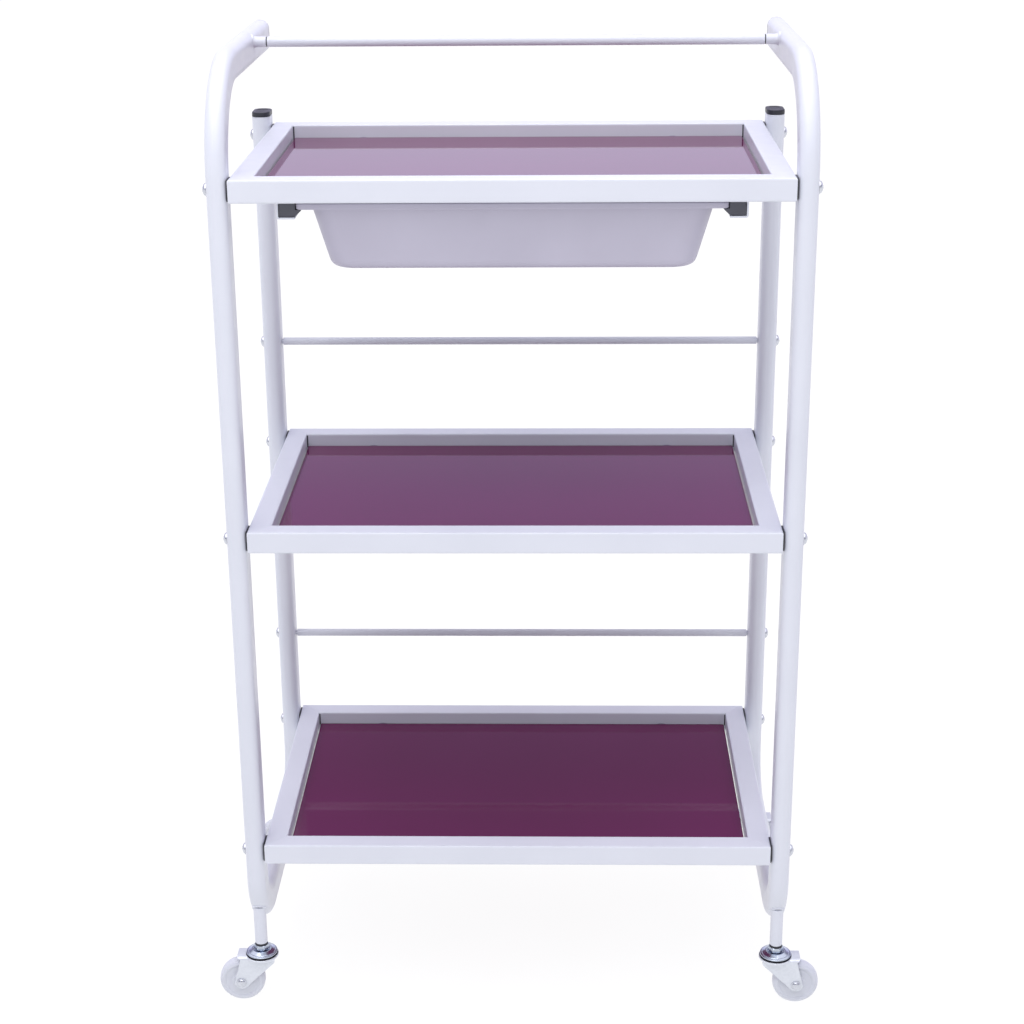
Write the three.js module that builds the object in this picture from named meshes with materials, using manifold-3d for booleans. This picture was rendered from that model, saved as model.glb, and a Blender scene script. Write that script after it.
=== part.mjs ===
// Rolling salon trolley: two bent side frames carry three glass shelves, a tray that slides under the
// top shelf, a handle rod, two rear tie rods and four swivel casters.
// Millimetres, +Z up, +X to the right, +Y to the rear. The origin is on the floor, under the middle.

import * as THREE from 'three';
import { mergeVertices } from 'three/addons/utils/BufferGeometryUtils.js';
import Module from 'manifold-3d';

const wasm = await Module();
wasm.setup();

// ---------------------------------------------------------------- driving dimensions

const SHELF_WIDTH = 477;
const SHELF_DEPTH = 309;
const TOP_SHELF_Z = 806;
const SHELF_PITCH = 315;
const SHELF_COUNT = 3;

const RAIL_SIZE = 20;
const RAIL_WALL = 1.5;
const RAIL_EDGE_RADIUS = 1.2;

const LEG_WIDTH = 17.5;
const LEG_DEPTH = 30;
const LEG_CORNER_RADIUS = 7.8;
const LEG_WALL = 1.5;
const LEG_TO_SHELF_GAP = 1.5;

const HANDLE_RISE = 83;
const TOP_BEND_RADIUS = 85;
const LOW_BEND_RADIUS = 50;
const SKID_CLEARANCE = 73;
const REAR_LEG_RISE = 9;

const PLUG_HEAD = 4.2;
const HANDLE_PLUG_HEAD = 3;
const PLUG_TO_BOLT = 1.5;
const PLUG_DOME = 1.2;

const GLASS_THICKNESS = 5;
const PAD_THICKNESS = 1.5;
const GLASS_GAP = 1.5;
const GLASS_CORNER_RADIUS = 1.5;
const GLASS_EDGE = 0.6;

const TAB_SPACING = 300;
const TAB_RADIUS = 12;
const TAB_REACH = 22;
const TAB_THICKNESS = 1.5;

const SHELF_BOLT_DIAMETER = 6;
const ROD_BOLT_DIAMETER = 5;
const BOLT_HEAD_DIAMETER = 11.5;
const BOLT_HEAD_HEIGHT = 3.8;
const BOLT_HEAD_RIM = 1.1;
const BOLT_HOLE_PLAY = 0.8;
const BOLT_GRIP = 4;
const BOLT_Y_INSET = 2;

const HANDLE_ROD_DIAMETER = 9.5;
const TIE_ROD_DIAMETER = 7.5;
const ROD_END_GAP = 1.6;
const ROD_BORE_DEPTH = 14;
const ROD_BOLT_GRIP = 10;
const HANDLE_ROD_RISE = 6.5;
const HANDLE_ROD_END_INSET = 101;
const HANDLE_STUB_LENGTH = 11.5;
const HANDLE_STUB_ROOT = 5;
const HANDLE_STUB_GAP = 0.9;
const HANDLE_SPIGOT_LENGTH = 11;
const HANDLE_PLUG_SPIGOT = 10;
const TIE_ROD_RISES = [97, 92];

const RUNNER_SPACING = 399;
const RUNNER_WIDTH = 15.5;
const RUNNER_HEIGHT = 15;
const RUNNER_WALL = 1.5;
const RUNNER_INSET = 10;

const SLIDE_PLAY = 0.4;
const SLIDE_END_INSET = 1.5;
const SLIDE_CHAMFER = 6;

const TRAY_TOP_WIDTH = 347;
const TRAY_FLOOR_WIDTH = 314;
const TRAY_DEPTH = 60;
const TRAY_WALL = 2.2;
const TRAY_CORNER_RADIUS = 22;
const TRAY_FLOOR_RADIUS = 14;
const TRAY_END_TAPER = 12;
const TRAY_RIM_HEIGHT = 5;
const TRAY_RIM_REACH = 4;
const TRAY_RIM_CORNER = 5;
const TRAY_REAR_INSET = 14;

const WHEEL_DIAMETER = 44;
const WHEEL_WIDTH = 14;
const WHEEL_EDGE_RADIUS = 4;
const WHEEL_DISH = 2.5;
const WHEEL_HUB_DIAMETER = 16;
const CASTER_TRAIL = 20;
const AXLE_DIAMETER = 6;
const AXLE_HEAD_DIAMETER = 10;
const AXLE_HEAD_HEIGHT = 2.4;
const AXLE_HEAD_RIM = 1;
const AXLE_PLAY = 0.35;
const FORK_WALL = 2;
const FORK_PLAY = 1;
const FORK_PLATE_DIAMETER = 32;
const WHEEL_TO_PLATE = 3;
const FORK_PLATE_THICKNESS = 3;
const FORK_CROWN_REACH = 23.5;
const FORK_HEEL_REACH = 13;
const FORK_FOOT_RADIUS = 6.5;
const SWIVEL_CAP_DIAMETER = 30;
const SWIVEL_CAP_HEIGHT = 4.6;
const SWIVEL_CAP_RIM = 1.5;
const SWIVEL_CAP_FLAT_DIAMETER = 14;
const SWIVEL_GAP = 0.8;
const KING_PIN_DIAMETER = 6;
const KING_PIN_HEAD = 2;
const KING_PIN_HEAD_DIAMETER = 10;
const STEM_DIAMETER = 8;
const STEM_LENGTH = 42;
const STEM_NUT_HEIGHT = 6.4;
const STEM_NUT_FLATS = 13;
const SOCKET_DIAMETER = 12;
const SOCKET_TOP_OVER_SKID = 14;
const STEM_PLAY = 0.6;

const CONTACT_GAP = 0.3;
const BORE_PLAY = 0.35;
const CUT_OVERRUN = 1;

const LEG_CORNER_STEPS = 1;
const CORNER_STEPS = 2;
const TOP_BEND_STEPS = 7;
const LOW_BEND_STEPS = 5;
const ROUND_STEPS = 12;
const BOLT_STEPS = 8;
const WHEEL_STEPS = 20;
const HEX_SIDES = 6;
const DOME_STEPS = 3;

// ---------------------------------------------------------------- derived places

const legX = SHELF_WIDTH / 2 + LEG_TO_SHELF_GAP + LEG_WIDTH / 2;
const legInnerX = legX - LEG_WIDTH / 2;
const legOuterX = legX + LEG_WIDTH / 2;
const legY = SHELF_DEPTH / 2 - LEG_DEPTH / 2;
const handleZ = TOP_SHELF_Z + HANDLE_RISE;
const skidZ = SKID_CLEARANCE + LEG_DEPTH / 2;
const rearLegTopZ = TOP_SHELF_Z + REAR_LEG_RISE;
const handleEndY = SHELF_DEPTH / 2 - HANDLE_PLUG_HEAD - CONTACT_GAP;
const rearPlugSpigot = REAR_LEG_RISE + RAIL_SIZE / 2 - SHELF_BOLT_DIAMETER / 2 - PLUG_TO_BOLT;
const boltY = legY + BOLT_Y_INSET;
const glassBottomDrop = RAIL_SIZE - TAB_THICKNESS - PAD_THICKNESS;
const openingWidth = SHELF_WIDTH - 2 * RAIL_SIZE;
const openingDepth = SHELF_DEPTH - 2 * RAIL_SIZE;
const runnerTopZ = TOP_SHELF_Z - RAIL_SIZE - CONTACT_GAP;
const runnerLength = SHELF_DEPTH - 2 * RUNNER_INSET;
const runnerOuterX = RUNNER_SPACING / 2;
const slideTopZ = runnerTopZ - RUNNER_WALL - SLIDE_PLAY;
const slideFloorZ = runnerTopZ - RUNNER_HEIGHT + RUNNER_WALL + SLIDE_PLAY;
const slideOuterX = runnerOuterX - RUNNER_WALL - SLIDE_PLAY;
const slideInnerX = runnerOuterX - RUNNER_WIDTH;
const trayRimHalfWidth = slideInnerX - 2 * CONTACT_GAP;
const trayRimTopZ = slideTopZ;
const trayBodyTopZ = trayRimTopZ - TRAY_RIM_HEIGHT;
const trayFloorZ = trayRimTopZ - TRAY_DEPTH;
const trayFrontY = -SHELF_DEPTH / 2 + RUNNER_INSET;
const trayRearY = SHELF_DEPTH / 2 - TRAY_REAR_INSET;
const axleZ = WHEEL_DIAMETER / 2;
const forkPlateBottomZ = WHEEL_DIAMETER + WHEEL_TO_PLATE;
const forkPlateTopZ = forkPlateBottomZ + FORK_PLATE_THICKNESS;
const forkInnerY = WHEEL_WIDTH / 2 + FORK_PLAY;
const forkOuterY = forkInnerY + FORK_WALL;
const capBottomZ = forkPlateTopZ + SWIVEL_GAP;
const capTopZ = capBottomZ + SWIVEL_CAP_HEIGHT;
const nutBottomZ = capTopZ + CONTACT_GAP;
const nutTopZ = nutBottomZ + STEM_NUT_HEIGHT;
const socketBottomZ = nutTopZ + CONTACT_GAP;

// ---------------------------------------------------------------- finishes

const whiteCoat = new THREE.MeshStandardMaterial({ color: 0xe9e9f2, roughness: 0.35, metalness: 0.0 });
const tintedGlass = new THREE.MeshStandardMaterial({ color: 0x4a2a4c, roughness: 0.05, metalness: 0.0 });
const blackPlastic = new THREE.MeshStandardMaterial({ color: 0x1a1a20, roughness: 0.5, metalness: 0.0 });
const whitePlastic = new THREE.MeshStandardMaterial({ color: 0xe4e4ea, roughness: 0.45, metalness: 0.0 });
const greyPlastic = new THREE.MeshStandardMaterial({ color: 0xb4b1c2, roughness: 0.5, metalness: 0.0 });
const wheelRubber = new THREE.MeshStandardMaterial({ color: 0xd9dbe4, roughness: 0.6, metalness: 0.0 });
const zinc = new THREE.MeshStandardMaterial({ color: 0xb9bcc4, roughness: 0.3, metalness: 0.9 });
const chrome = new THREE.MeshStandardMaterial({ color: 0xd5d8de, roughness: 0.12, metalness: 1.0 });

// ---------------------------------------------------------------- shape helpers

const trolley = new THREE.Group();

/** Adds one named piece to the trolley at a place in the trolley's frame. */
function addPiece(name, geometry, material, x = 0, y = 0, z = 0) {
  const mesh = new THREE.Mesh(geometry, material);
  mesh.name = name;
  mesh.position.set(x, y, z);
  trolley.add(mesh);
  return mesh;
}

/** Turns a closed geometry into a solid that can be joined and cut. */
function toSolid(geometry) {
  const bare = geometry.clone();
  bare.deleteAttribute('normal');
  bare.deleteAttribute('uv');
  const merged = mergeVertices(bare);
  return new wasm.Manifold(new wasm.Mesh({
    numProp: 3,
    vertProperties: Float32Array.from(merged.attributes.position.array),
    triVerts: Uint32Array.from(merged.index.array),
  }));
}

/** Turns a joined or cut solid back into a geometry. */
function toGeometry(solid) {
  const mesh = solid.getMesh();
  const geometry = new THREE.BufferGeometry();
  geometry.setAttribute('position', new THREE.BufferAttribute(Float32Array.from(mesh.vertProperties), 3));
  geometry.setIndex(new THREE.BufferAttribute(Uint32Array.from(mesh.triVerts), 1));
  geometry.computeVertexNormals();
  return geometry;
}

/** A rectangle with round corners, centred on the origin. */
function roundedRectangle(width, height, radius, Outline = THREE.Shape) {
  const x = width / 2;
  const y = height / 2;
  const outline = new Outline();
  outline.moveTo(-x + radius, -y);
  outline.absarc(x - radius, -y + radius, radius, -Math.PI / 2, 0, false);
  outline.absarc(x - radius, y - radius, radius, 0, Math.PI / 2, false);
  outline.absarc(-x + radius, y - radius, radius, Math.PI / 2, Math.PI, false);
  outline.absarc(-x + radius, -y + radius, radius, Math.PI, Math.PI * 1.5, false);
  return outline;
}

/** A plain closed outline through a list of corner points. */
function polygon(points, Outline = THREE.Shape) {
  return new Outline(points.map(([x, y]) => new THREE.Vector2(x, y)));
}

/** A straight bar of one outline, standing on z = bottom, with an optional rounded edge all round. */
function upright(outline, bottom, height, edge = 0, edgeSteps = 1, cornerSteps = CORNER_STEPS) {
  const geometry = new THREE.ExtrudeGeometry(outline, {
    depth: height - 2 * edge,
    curveSegments: cornerSteps,
    bevelEnabled: edge > 0,
    bevelThickness: edge,
    bevelSize: edge,
    bevelOffset: -edge,
    bevelSegments: edgeSteps,
  });
  geometry.translate(0, 0, bottom + edge);
  return geometry;
}

/** A round bar along Z between two heights. */
function roundBar(diameter, bottom, top, steps = ROUND_STEPS) {
  const geometry = new THREE.CylinderGeometry(diameter / 2, diameter / 2, top - bottom, steps);
  geometry.rotateX(Math.PI / 2);
  geometry.translate(0, 0, (top + bottom) / 2);
  return geometry;
}

/** A turned piece about Z. Its profile of [radius, height] points closes on the axis or on itself. */
function turned(profile, steps = ROUND_STEPS) {
  const geometry = new THREE.LatheGeometry(profile.map(([r, z]) => new THREE.Vector2(r, z)), steps);
  geometry.rotateX(Math.PI / 2);
  return geometry;
}

/** Profile points of a quarter-oval dome, from its rim in to a flat of the inner radius. */
function dome(outer, inner, base, rise) {
  const sweep = Array.from({ length: DOME_STEPS }, (_, step) => (Math.PI / 2) * (step / DOME_STEPS));
  const points = sweep.map((angle) => [
    inner + (outer - inner) * Math.cos(angle),
    base + rise * Math.sin(angle),
  ]);
  return [...points, [inner, base + rise]];
}

/** Cuts a row of solids out of another one. */
function cutAll(solid, cutters) {
  return cutters.reduce((rest, cutter) => rest.subtract(cutter), solid);
}

/** A path in the YZ plane made of straight runs and round bends, sampled only where it needs to be. */
class BentPath extends THREE.Curve {
  constructor(start, heading) {
    super();
    this.stations = [{ y: start[0], z: start[1], angle: heading }];
  }

  get end() {
    return this.stations[this.stations.length - 1];
  }

  straight(length) {
    const { y, z, angle } = this.end;
    this.stations.push({ y: y + length * Math.cos(angle), z: z + length * Math.sin(angle), angle });
    return this;
  }

  bend(radius, turn, steps) {
    const { y, z, angle } = this.end;
    const side = Math.sign(turn);
    const centreY = y - side * radius * Math.sin(angle);
    const centreZ = z + side * radius * Math.cos(angle);
    for (let step = 1; step <= steps; step += 1) {
      const now = angle + (turn * step) / steps;
      this.stations.push({
        y: centreY + side * radius * Math.sin(now),
        z: centreZ - side * radius * Math.cos(now),
        angle: now,
      });
    }
    return this;
  }

  station(u) {
    return this.stations[Math.round(u * (this.stations.length - 1))];
  }

  getPointAt(u, target = new THREE.Vector3()) {
    const { y, z } = this.station(u);
    return target.set(0, y, z);
  }

  getTangentAt(u, target = new THREE.Vector3()) {
    const { angle } = this.station(u);
    return target.set(0, Math.cos(angle), Math.sin(angle));
  }
}

// ---------------------------------------------------------------- side frames

/** The flat-oval section of the side tube, shrunk by an inset, for the bore and the plugs. */
function legSection(inset, Outline = THREE.Shape) {
  return roundedRectangle(LEG_WIDTH - 2 * inset, LEG_DEPTH - 2 * inset, LEG_CORNER_RADIUS - inset, Outline);
}

/** The tube's path: handle arm, top bend, front leg, skid with its two bends, rear leg. */
function sideTubePath() {
  const quarter = Math.PI / 2;
  const frontLegLength = handleZ - TOP_BEND_RADIUS - skidZ - LOW_BEND_RADIUS;
  return new BentPath([handleEndY, handleZ], Math.PI)
    .straight(handleEndY + legY - TOP_BEND_RADIUS)
    .bend(TOP_BEND_RADIUS, quarter, TOP_BEND_STEPS)
    .straight(frontLegLength)
    .bend(LOW_BEND_RADIUS, quarter, LOW_BEND_STEPS)
    .straight(2 * (legY - LOW_BEND_RADIUS))
    .bend(LOW_BEND_RADIUS, quarter, LOW_BEND_STEPS)
    .straight(rearLegTopZ - skidZ - LOW_BEND_RADIUS);
}

/** A cross bore through the leg, along X, for a bolt. */
function crossBore(diameter, y, z) {
  const bore = roundBar(diameter + BOLT_HOLE_PLAY, -LEG_WIDTH, LEG_WIDTH, BOLT_STEPS);
  bore.rotateY(Math.PI / 2);
  bore.translate(0, y, z);
  return toSolid(bore);
}

const shelfTops = Array.from({ length: SHELF_COUNT }, (_, level) => TOP_SHELF_Z - level * SHELF_PITCH);
const shelfBoltPlaces = shelfTops.flatMap(
  (top) => [-boltY, boltY].map((y) => ({ y, z: top - RAIL_SIZE / 2 })),
);
const handleRodPlace = { y: handleEndY - HANDLE_ROD_END_INSET, z: handleZ + HANDLE_ROD_RISE };
const tieRodPlaces = TIE_ROD_RISES.map((rise, index) => ({ y: legY, z: shelfTops[index + 1] + rise }));

/** A round bar that stands out from the arm's inner face, along X, on the handle rod's axis. */
function handleBar(inward, diameter, from, to, steps) {
  const bar = roundBar(diameter, LEG_WIDTH / 2 + from, LEG_WIDTH / 2 + to, steps);
  bar.rotateY((inward * Math.PI) / 2);
  bar.translate(0, handleRodPlace.y, handleRodPlace.z);
  return toSolid(bar);
}

/**
 * One side frame: a bent tube, open at both ends, with a caster socket welded into each lower bend and a
 * stub welded to the handle arm. The stub's spigot carries the handle rod.
 */
function sideFrame(inward) {
  const section = legSection(0);
  section.holes.push(legSection(LEG_WALL, THREE.Path));
  const path = sideTubePath();
  const tube = toSolid(new THREE.ExtrudeGeometry(section, {
    steps: path.stations.length - 1,
    curveSegments: LEG_CORNER_STEPS,
    extrudePath: path,
  }));
  const socketTopZ = skidZ + SOCKET_TOP_OVER_SKID;
  const sockets = [-legY, legY].map((y) => toSolid(
    roundBar(SOCKET_DIAMETER, socketBottomZ, socketTopZ).translate(0, y, 0),
  ));
  const boreBottomZ = socketBottomZ - CUT_OVERRUN;
  const boreTopZ = socketTopZ + CUT_OVERRUN;
  const stemBores = [-legY, legY].map((y) => toSolid(
    roundBar(STEM_DIAMETER + STEM_PLAY, boreBottomZ, boreTopZ).translate(0, y, 0),
  ));
  const stub = handleBar(inward, HANDLE_ROD_DIAMETER, -HANDLE_STUB_ROOT, HANDLE_STUB_LENGTH, ROUND_STEPS);
  const spigotEnd = HANDLE_STUB_LENGTH + HANDLE_SPIGOT_LENGTH;
  const spigot = handleBar(inward, ROD_BOLT_DIAMETER, 0, spigotEnd, BOLT_STEPS);
  const joined = [...sockets, stub, spigot].reduce((sum, part) => sum.add(part), tube);
  return cutAll(joined, [
    ...stemBores,
    ...shelfBoltPlaces.map(({ y, z }) => crossBore(SHELF_BOLT_DIAMETER, y, z)),
    ...tieRodPlaces.map(({ y, z }) => crossBore(ROD_BOLT_DIAMETER, y, z)),
  ]);
}

/** A tube plug: a domed head over the tube's end and a spigot inside it, along +Z from the tube's end. */
function tubePlug(headHeight, spigotLength) {
  const head = upright(legSection(0), CONTACT_GAP, headHeight, PLUG_DOME, 2, LEG_CORNER_STEPS);
  const spigotHeight = spigotLength + CONTACT_GAP + headHeight / 2;
  const spigotSection = legSection(LEG_WALL + CONTACT_GAP);
  const spigot = upright(spigotSection, -spigotLength, spigotHeight, 0, 1, LEG_CORNER_STEPS);
  return toGeometry(toSolid(head).add(toSolid(spigot)));
}

const sides = [['left', -1], ['right', 1]];
const ends = [['front', -1], ['rear', 1]];
const levels = ['top', 'middle', 'bottom'];

for (const [side, sign] of sides) {
  addPiece(`side_frame_${side}`, toGeometry(sideFrame(-sign)), whiteCoat, sign * legX);
  const rearPlug = tubePlug(PLUG_HEAD, rearPlugSpigot);
  addPiece(`rear_post_plug_${side}`, rearPlug, blackPlastic, sign * legX, legY, rearLegTopZ);
  const handlePlug = tubePlug(HANDLE_PLUG_HEAD, HANDLE_PLUG_SPIGOT);
  handlePlug.rotateX(-Math.PI / 2);
  addPiece(`handle_plug_${side}`, handlePlug, whitePlastic, sign * legX, handleEndY, handleZ);
}

// ---------------------------------------------------------------- shelves

/** The outline of a shelf's rectangular ring, with its opening, for the rails or for their hollow. */
function ringOutline(outerInset, innerInset) {
  const outline = polygon([
    [-SHELF_WIDTH / 2 + outerInset, -SHELF_DEPTH / 2 + outerInset],
    [SHELF_WIDTH / 2 - outerInset, -SHELF_DEPTH / 2 + outerInset],
    [SHELF_WIDTH / 2 - outerInset, SHELF_DEPTH / 2 - outerInset],
    [-SHELF_WIDTH / 2 + outerInset, SHELF_DEPTH / 2 - outerInset],
  ]);
  outline.holes.push(polygon([
    [-openingWidth / 2 - innerInset, -openingDepth / 2 - innerInset],
    [-openingWidth / 2 - innerInset, openingDepth / 2 + innerInset],
    [openingWidth / 2 + innerInset, openingDepth / 2 + innerInset],
    [openingWidth / 2 + innerInset, -openingDepth / 2 - innerInset],
  ], THREE.Path));
  return outline;
}

/** A half-round tab that reaches in from a rail, under the glass. */
function glassTab(x, end) {
  const railFace = openingDepth / 2 + RAIL_WALL / 2;
  const outline = new THREE.Shape();
  outline.moveTo(-TAB_RADIUS, railFace);
  outline.lineTo(-TAB_RADIUS, openingDepth / 2 - TAB_REACH + TAB_RADIUS);
  outline.absarc(0, openingDepth / 2 - TAB_REACH + TAB_RADIUS, TAB_RADIUS, Math.PI, 2 * Math.PI, false);
  outline.lineTo(TAB_RADIUS, railFace);
  const tab = upright(outline, -RAIL_SIZE, TAB_THICKNESS);
  if (end < 0) {
    tab.rotateZ(Math.PI);
  }
  tab.translate(x, 0, 0);
  return toSolid(tab);
}

/** A bolt hole through a rail's outer wall, along X. */
function railBore(side, y) {
  const bore = roundBar(SHELF_BOLT_DIAMETER + BOLT_HOLE_PLAY, -2 * RAIL_WALL, 2 * RAIL_WALL, BOLT_STEPS);
  bore.rotateY(Math.PI / 2);
  bore.translate((side * SHELF_WIDTH) / 2, y, -RAIL_SIZE / 2);
  return toSolid(bore);
}

/** A shelf frame of four welded hollow rails with four tabs, its top face at z = 0. */
function shelfFrame() {
  const rails = toSolid(upright(ringOutline(0, 0), -RAIL_SIZE, RAIL_SIZE, RAIL_EDGE_RADIUS, 2));
  const hollow = toSolid(upright(
    ringOutline(RAIL_WALL, RAIL_WALL), -RAIL_SIZE + RAIL_WALL, RAIL_SIZE - 2 * RAIL_WALL,
  ));
  const bores = [-1, 1].flatMap((side) => [-boltY, boltY].map((y) => railBore(side, y)));
  const tabs = [-1, 1].flatMap((end) => [-TAB_SPACING / 2, TAB_SPACING / 2].map((x) => glassTab(x, end)));
  return tabs.reduce((sum, tab) => sum.add(tab), cutAll(rails.subtract(hollow), bores));
}

const shelfFrameGeometry = toGeometry(shelfFrame());
const glassOutline = roundedRectangle(
  openingWidth - 2 * GLASS_GAP, openingDepth - 2 * GLASS_GAP, GLASS_CORNER_RADIUS,
);
const glassGeometry = upright(glassOutline, -glassBottomDrop, GLASS_THICKNESS, GLASS_EDGE);

levels.forEach((level, index) => {
  addPiece(`${level}_shelf_frame`, shelfFrameGeometry, whiteCoat, 0, 0, shelfTops[index]);
  addPiece(`${level}_shelf_glass`, glassGeometry, tintedGlass, 0, 0, shelfTops[index]);
});

// ---------------------------------------------------------------- bolts and rods

/** A dome-head bolt along +Z: its head stands on z = 0 and its shank runs down to -length. */
function domeBolt(diameter, length) {
  const head = BOLT_HEAD_DIAMETER / 2;
  return turned([
    [0, -length],
    [diameter / 2, -length],
    [diameter / 2, CONTACT_GAP],
    [head, CONTACT_GAP],
    ...dome(head, 0, BOLT_HEAD_RIM, BOLT_HEAD_HEIGHT - BOLT_HEAD_RIM),
  ], BOLT_STEPS);
}

/** Places a bolt on a side frame's outer face, pointing inwards. */
function addSideBolt(name, geometry, sign, y, z) {
  const bolt = geometry.clone();
  bolt.rotateY((sign * Math.PI) / 2);
  addPiece(name, bolt, zinc, sign * legOuterX, y, z);
}

const shelfBolt = domeBolt(SHELF_BOLT_DIAMETER, LEG_WIDTH + LEG_TO_SHELF_GAP + RAIL_WALL + BOLT_GRIP);
const rodBolt = domeBolt(ROD_BOLT_DIAMETER, LEG_WIDTH + ROD_END_GAP + ROD_BOLT_GRIP);

for (const [side, sign] of sides) {
  levels.forEach((level, index) => {
    for (const [end, endSign] of ends) {
      const z = shelfTops[index] - RAIL_SIZE / 2;
      addSideBolt(`${level}_shelf_bolt_${end}_${side}`, shelfBolt, sign, endSign * boltY, z);
    }
  });
}

/** A round rod along X, bored at both ends for its bolts or spigots. */
function crossRod(diameter, half) {
  const bore = ROD_BOLT_DIAMETER / 2 + BORE_PLAY;
  const floor = half - ROD_BORE_DEPTH;
  const rod = turned([
    [0, -floor],
    [bore, -floor],
    [bore, -half],
    [diameter / 2, -half],
    [diameter / 2, half],
    [bore, half],
    [bore, floor],
    [0, floor],
  ]);
  rod.rotateY(Math.PI / 2);
  return rod;
}

const handleRod = crossRod(HANDLE_ROD_DIAMETER, legInnerX - HANDLE_STUB_LENGTH - HANDLE_STUB_GAP);
addPiece('handle_rod', handleRod, whiteCoat, 0, handleRodPlace.y, handleRodPlace.z);

['upper_tie_rod', 'lower_tie_rod'].forEach((name, index) => {
  const { y, z } = tieRodPlaces[index];
  addPiece(name, crossRod(TIE_ROD_DIAMETER, legInnerX - ROD_END_GAP), whiteCoat, 0, y, z);
  for (const [side, sign] of sides) {
    addSideBolt(`${name}_bolt_${side}`, rodBolt, sign, y, z);
  }
});

// ---------------------------------------------------------------- sliding tray

/** A bar along Y of one XZ outline, centred on y = 0. The outline's x axis is the trolley's X. */
function barAlongY(outline, length) {
  const geometry = new THREE.ExtrudeGeometry(outline, {
    depth: length,
    curveSegments: CORNER_STEPS,
    bevelEnabled: false,
  });
  geometry.rotateX(Math.PI / 2);
  geometry.translate(0, length / 2, 0);
  return geometry;
}

/** The C outline of a runner, open towards the middle, with its outer face on x = 0 and inwards at +x. */
function runnerOutline() {
  const inner = RUNNER_WIDTH;
  const wall = RUNNER_WALL;
  return polygon([
    [0, 0],
    [0, -RUNNER_HEIGHT],
    [inner, -RUNNER_HEIGHT],
    [inner, -RUNNER_HEIGHT + wall],
    [wall, -RUNNER_HEIGHT + wall],
    [wall, -wall],
    [inner, -wall],
    [inner, 0],
  ]);
}

/** The outline of a slide bar: a block in the runner and a sloping ledge under the tray's rim. */
function slideOutline() {
  const outer = slideOuterX;
  const rimEdge = trayRimHalfWidth + CONTACT_GAP;
  const ledgeTop = trayBodyTopZ - CONTACT_GAP;
  return polygon([
    [-outer, slideTopZ],
    [-outer, slideFloorZ],
    [-slideInnerX, slideFloorZ],
    [-slideInnerX + SLIDE_CHAMFER, ledgeTop],
    [-rimEdge, ledgeTop],
    [-rimEdge, slideTopZ],
  ]);
}

/** Half of a tub outline: flat floor, round corner, sloping wall up past the rim. */
function tubOutline(topHalf, floorHalf, floorZ, topZ, radius) {
  const slope = (topHalf - floorHalf) / (topZ - floorZ);
  const outline = new THREE.Shape();
  outline.moveTo(-topHalf, topZ);
  outline.lineTo(-floorHalf - slope * radius, floorZ + radius);
  outline.quadraticCurveTo(-floorHalf, floorZ, -floorHalf + radius, floorZ);
  outline.lineTo(floorHalf - radius, floorZ);
  outline.quadraticCurveTo(floorHalf, floorZ, floorHalf + slope * radius, floorZ + radius);
  outline.lineTo(topHalf, topZ);
  return outline;
}

/** The tray's tub, shrunk by an inset for its inside: sloping walls on all sides, round corners. */
function trayTub(inset, topZ) {
  const length = trayRearY - trayFrontY - 2 * TRAY_RIM_REACH;
  const floorZ = trayFloorZ + inset;
  const across = barAlongY(
    tubOutline(TRAY_TOP_WIDTH / 2 - inset, TRAY_FLOOR_WIDTH / 2 - inset, floorZ, topZ, TRAY_FLOOR_RADIUS),
    length,
  );
  const halfLength = length / 2 - inset;
  const along = barAlongY(
    tubOutline(halfLength, halfLength - TRAY_END_TAPER, floorZ, topZ, TRAY_FLOOR_RADIUS),
    TRAY_TOP_WIDTH,
  );
  along.rotateZ(Math.PI / 2);
  const plan = upright(
    roundedRectangle(TRAY_TOP_WIDTH - 2 * inset, length - 2 * inset, TRAY_CORNER_RADIUS - inset),
    floorZ - CUT_OVERRUN, topZ - floorZ + 2 * CUT_OVERRUN,
  );
  return toSolid(across).intersect(toSolid(along)).intersect(toSolid(plan));
}

/** The tray: a tub with a flat rim all round, whose side edges sit in the slide bars. */
function tray() {
  const rimOutline = roundedRectangle(2 * trayRimHalfWidth, trayRearY - trayFrontY, TRAY_RIM_CORNER);
  const rim = toSolid(upright(rimOutline, trayBodyTopZ, TRAY_RIM_HEIGHT, RAIL_EDGE_RADIUS));
  const tub = trayTub(0, trayRimTopZ - RAIL_EDGE_RADIUS);
  return rim.add(tub).subtract(trayTub(TRAY_WALL, trayRimTopZ + CUT_OVERRUN));
}

const runnerGeometry = barAlongY(runnerOutline(), runnerLength);
const slideLength = trayRearY - trayFrontY - 2 * SLIDE_END_INSET;
const slideGeometry = barAlongY(slideOutline(), slideLength);
const trayMidY = (trayFrontY + trayRearY) / 2;

for (const [side, sign] of sides) {
  const runner = addPiece(`runner_${side}`, runnerGeometry, whiteCoat, sign * runnerOuterX, 0, runnerTopZ);
  const slideBar = addPiece(`slide_bar_${side}`, slideGeometry, blackPlastic, 0, trayMidY, 0);
  runner.rotation.z = sign < 0 ? 0 : Math.PI;
  slideBar.rotation.z = sign < 0 ? 0 : Math.PI;
}
addPiece('tray', toGeometry(tray()), greyPlastic, 0, trayMidY, 0);

// ---------------------------------------------------------------- casters

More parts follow.
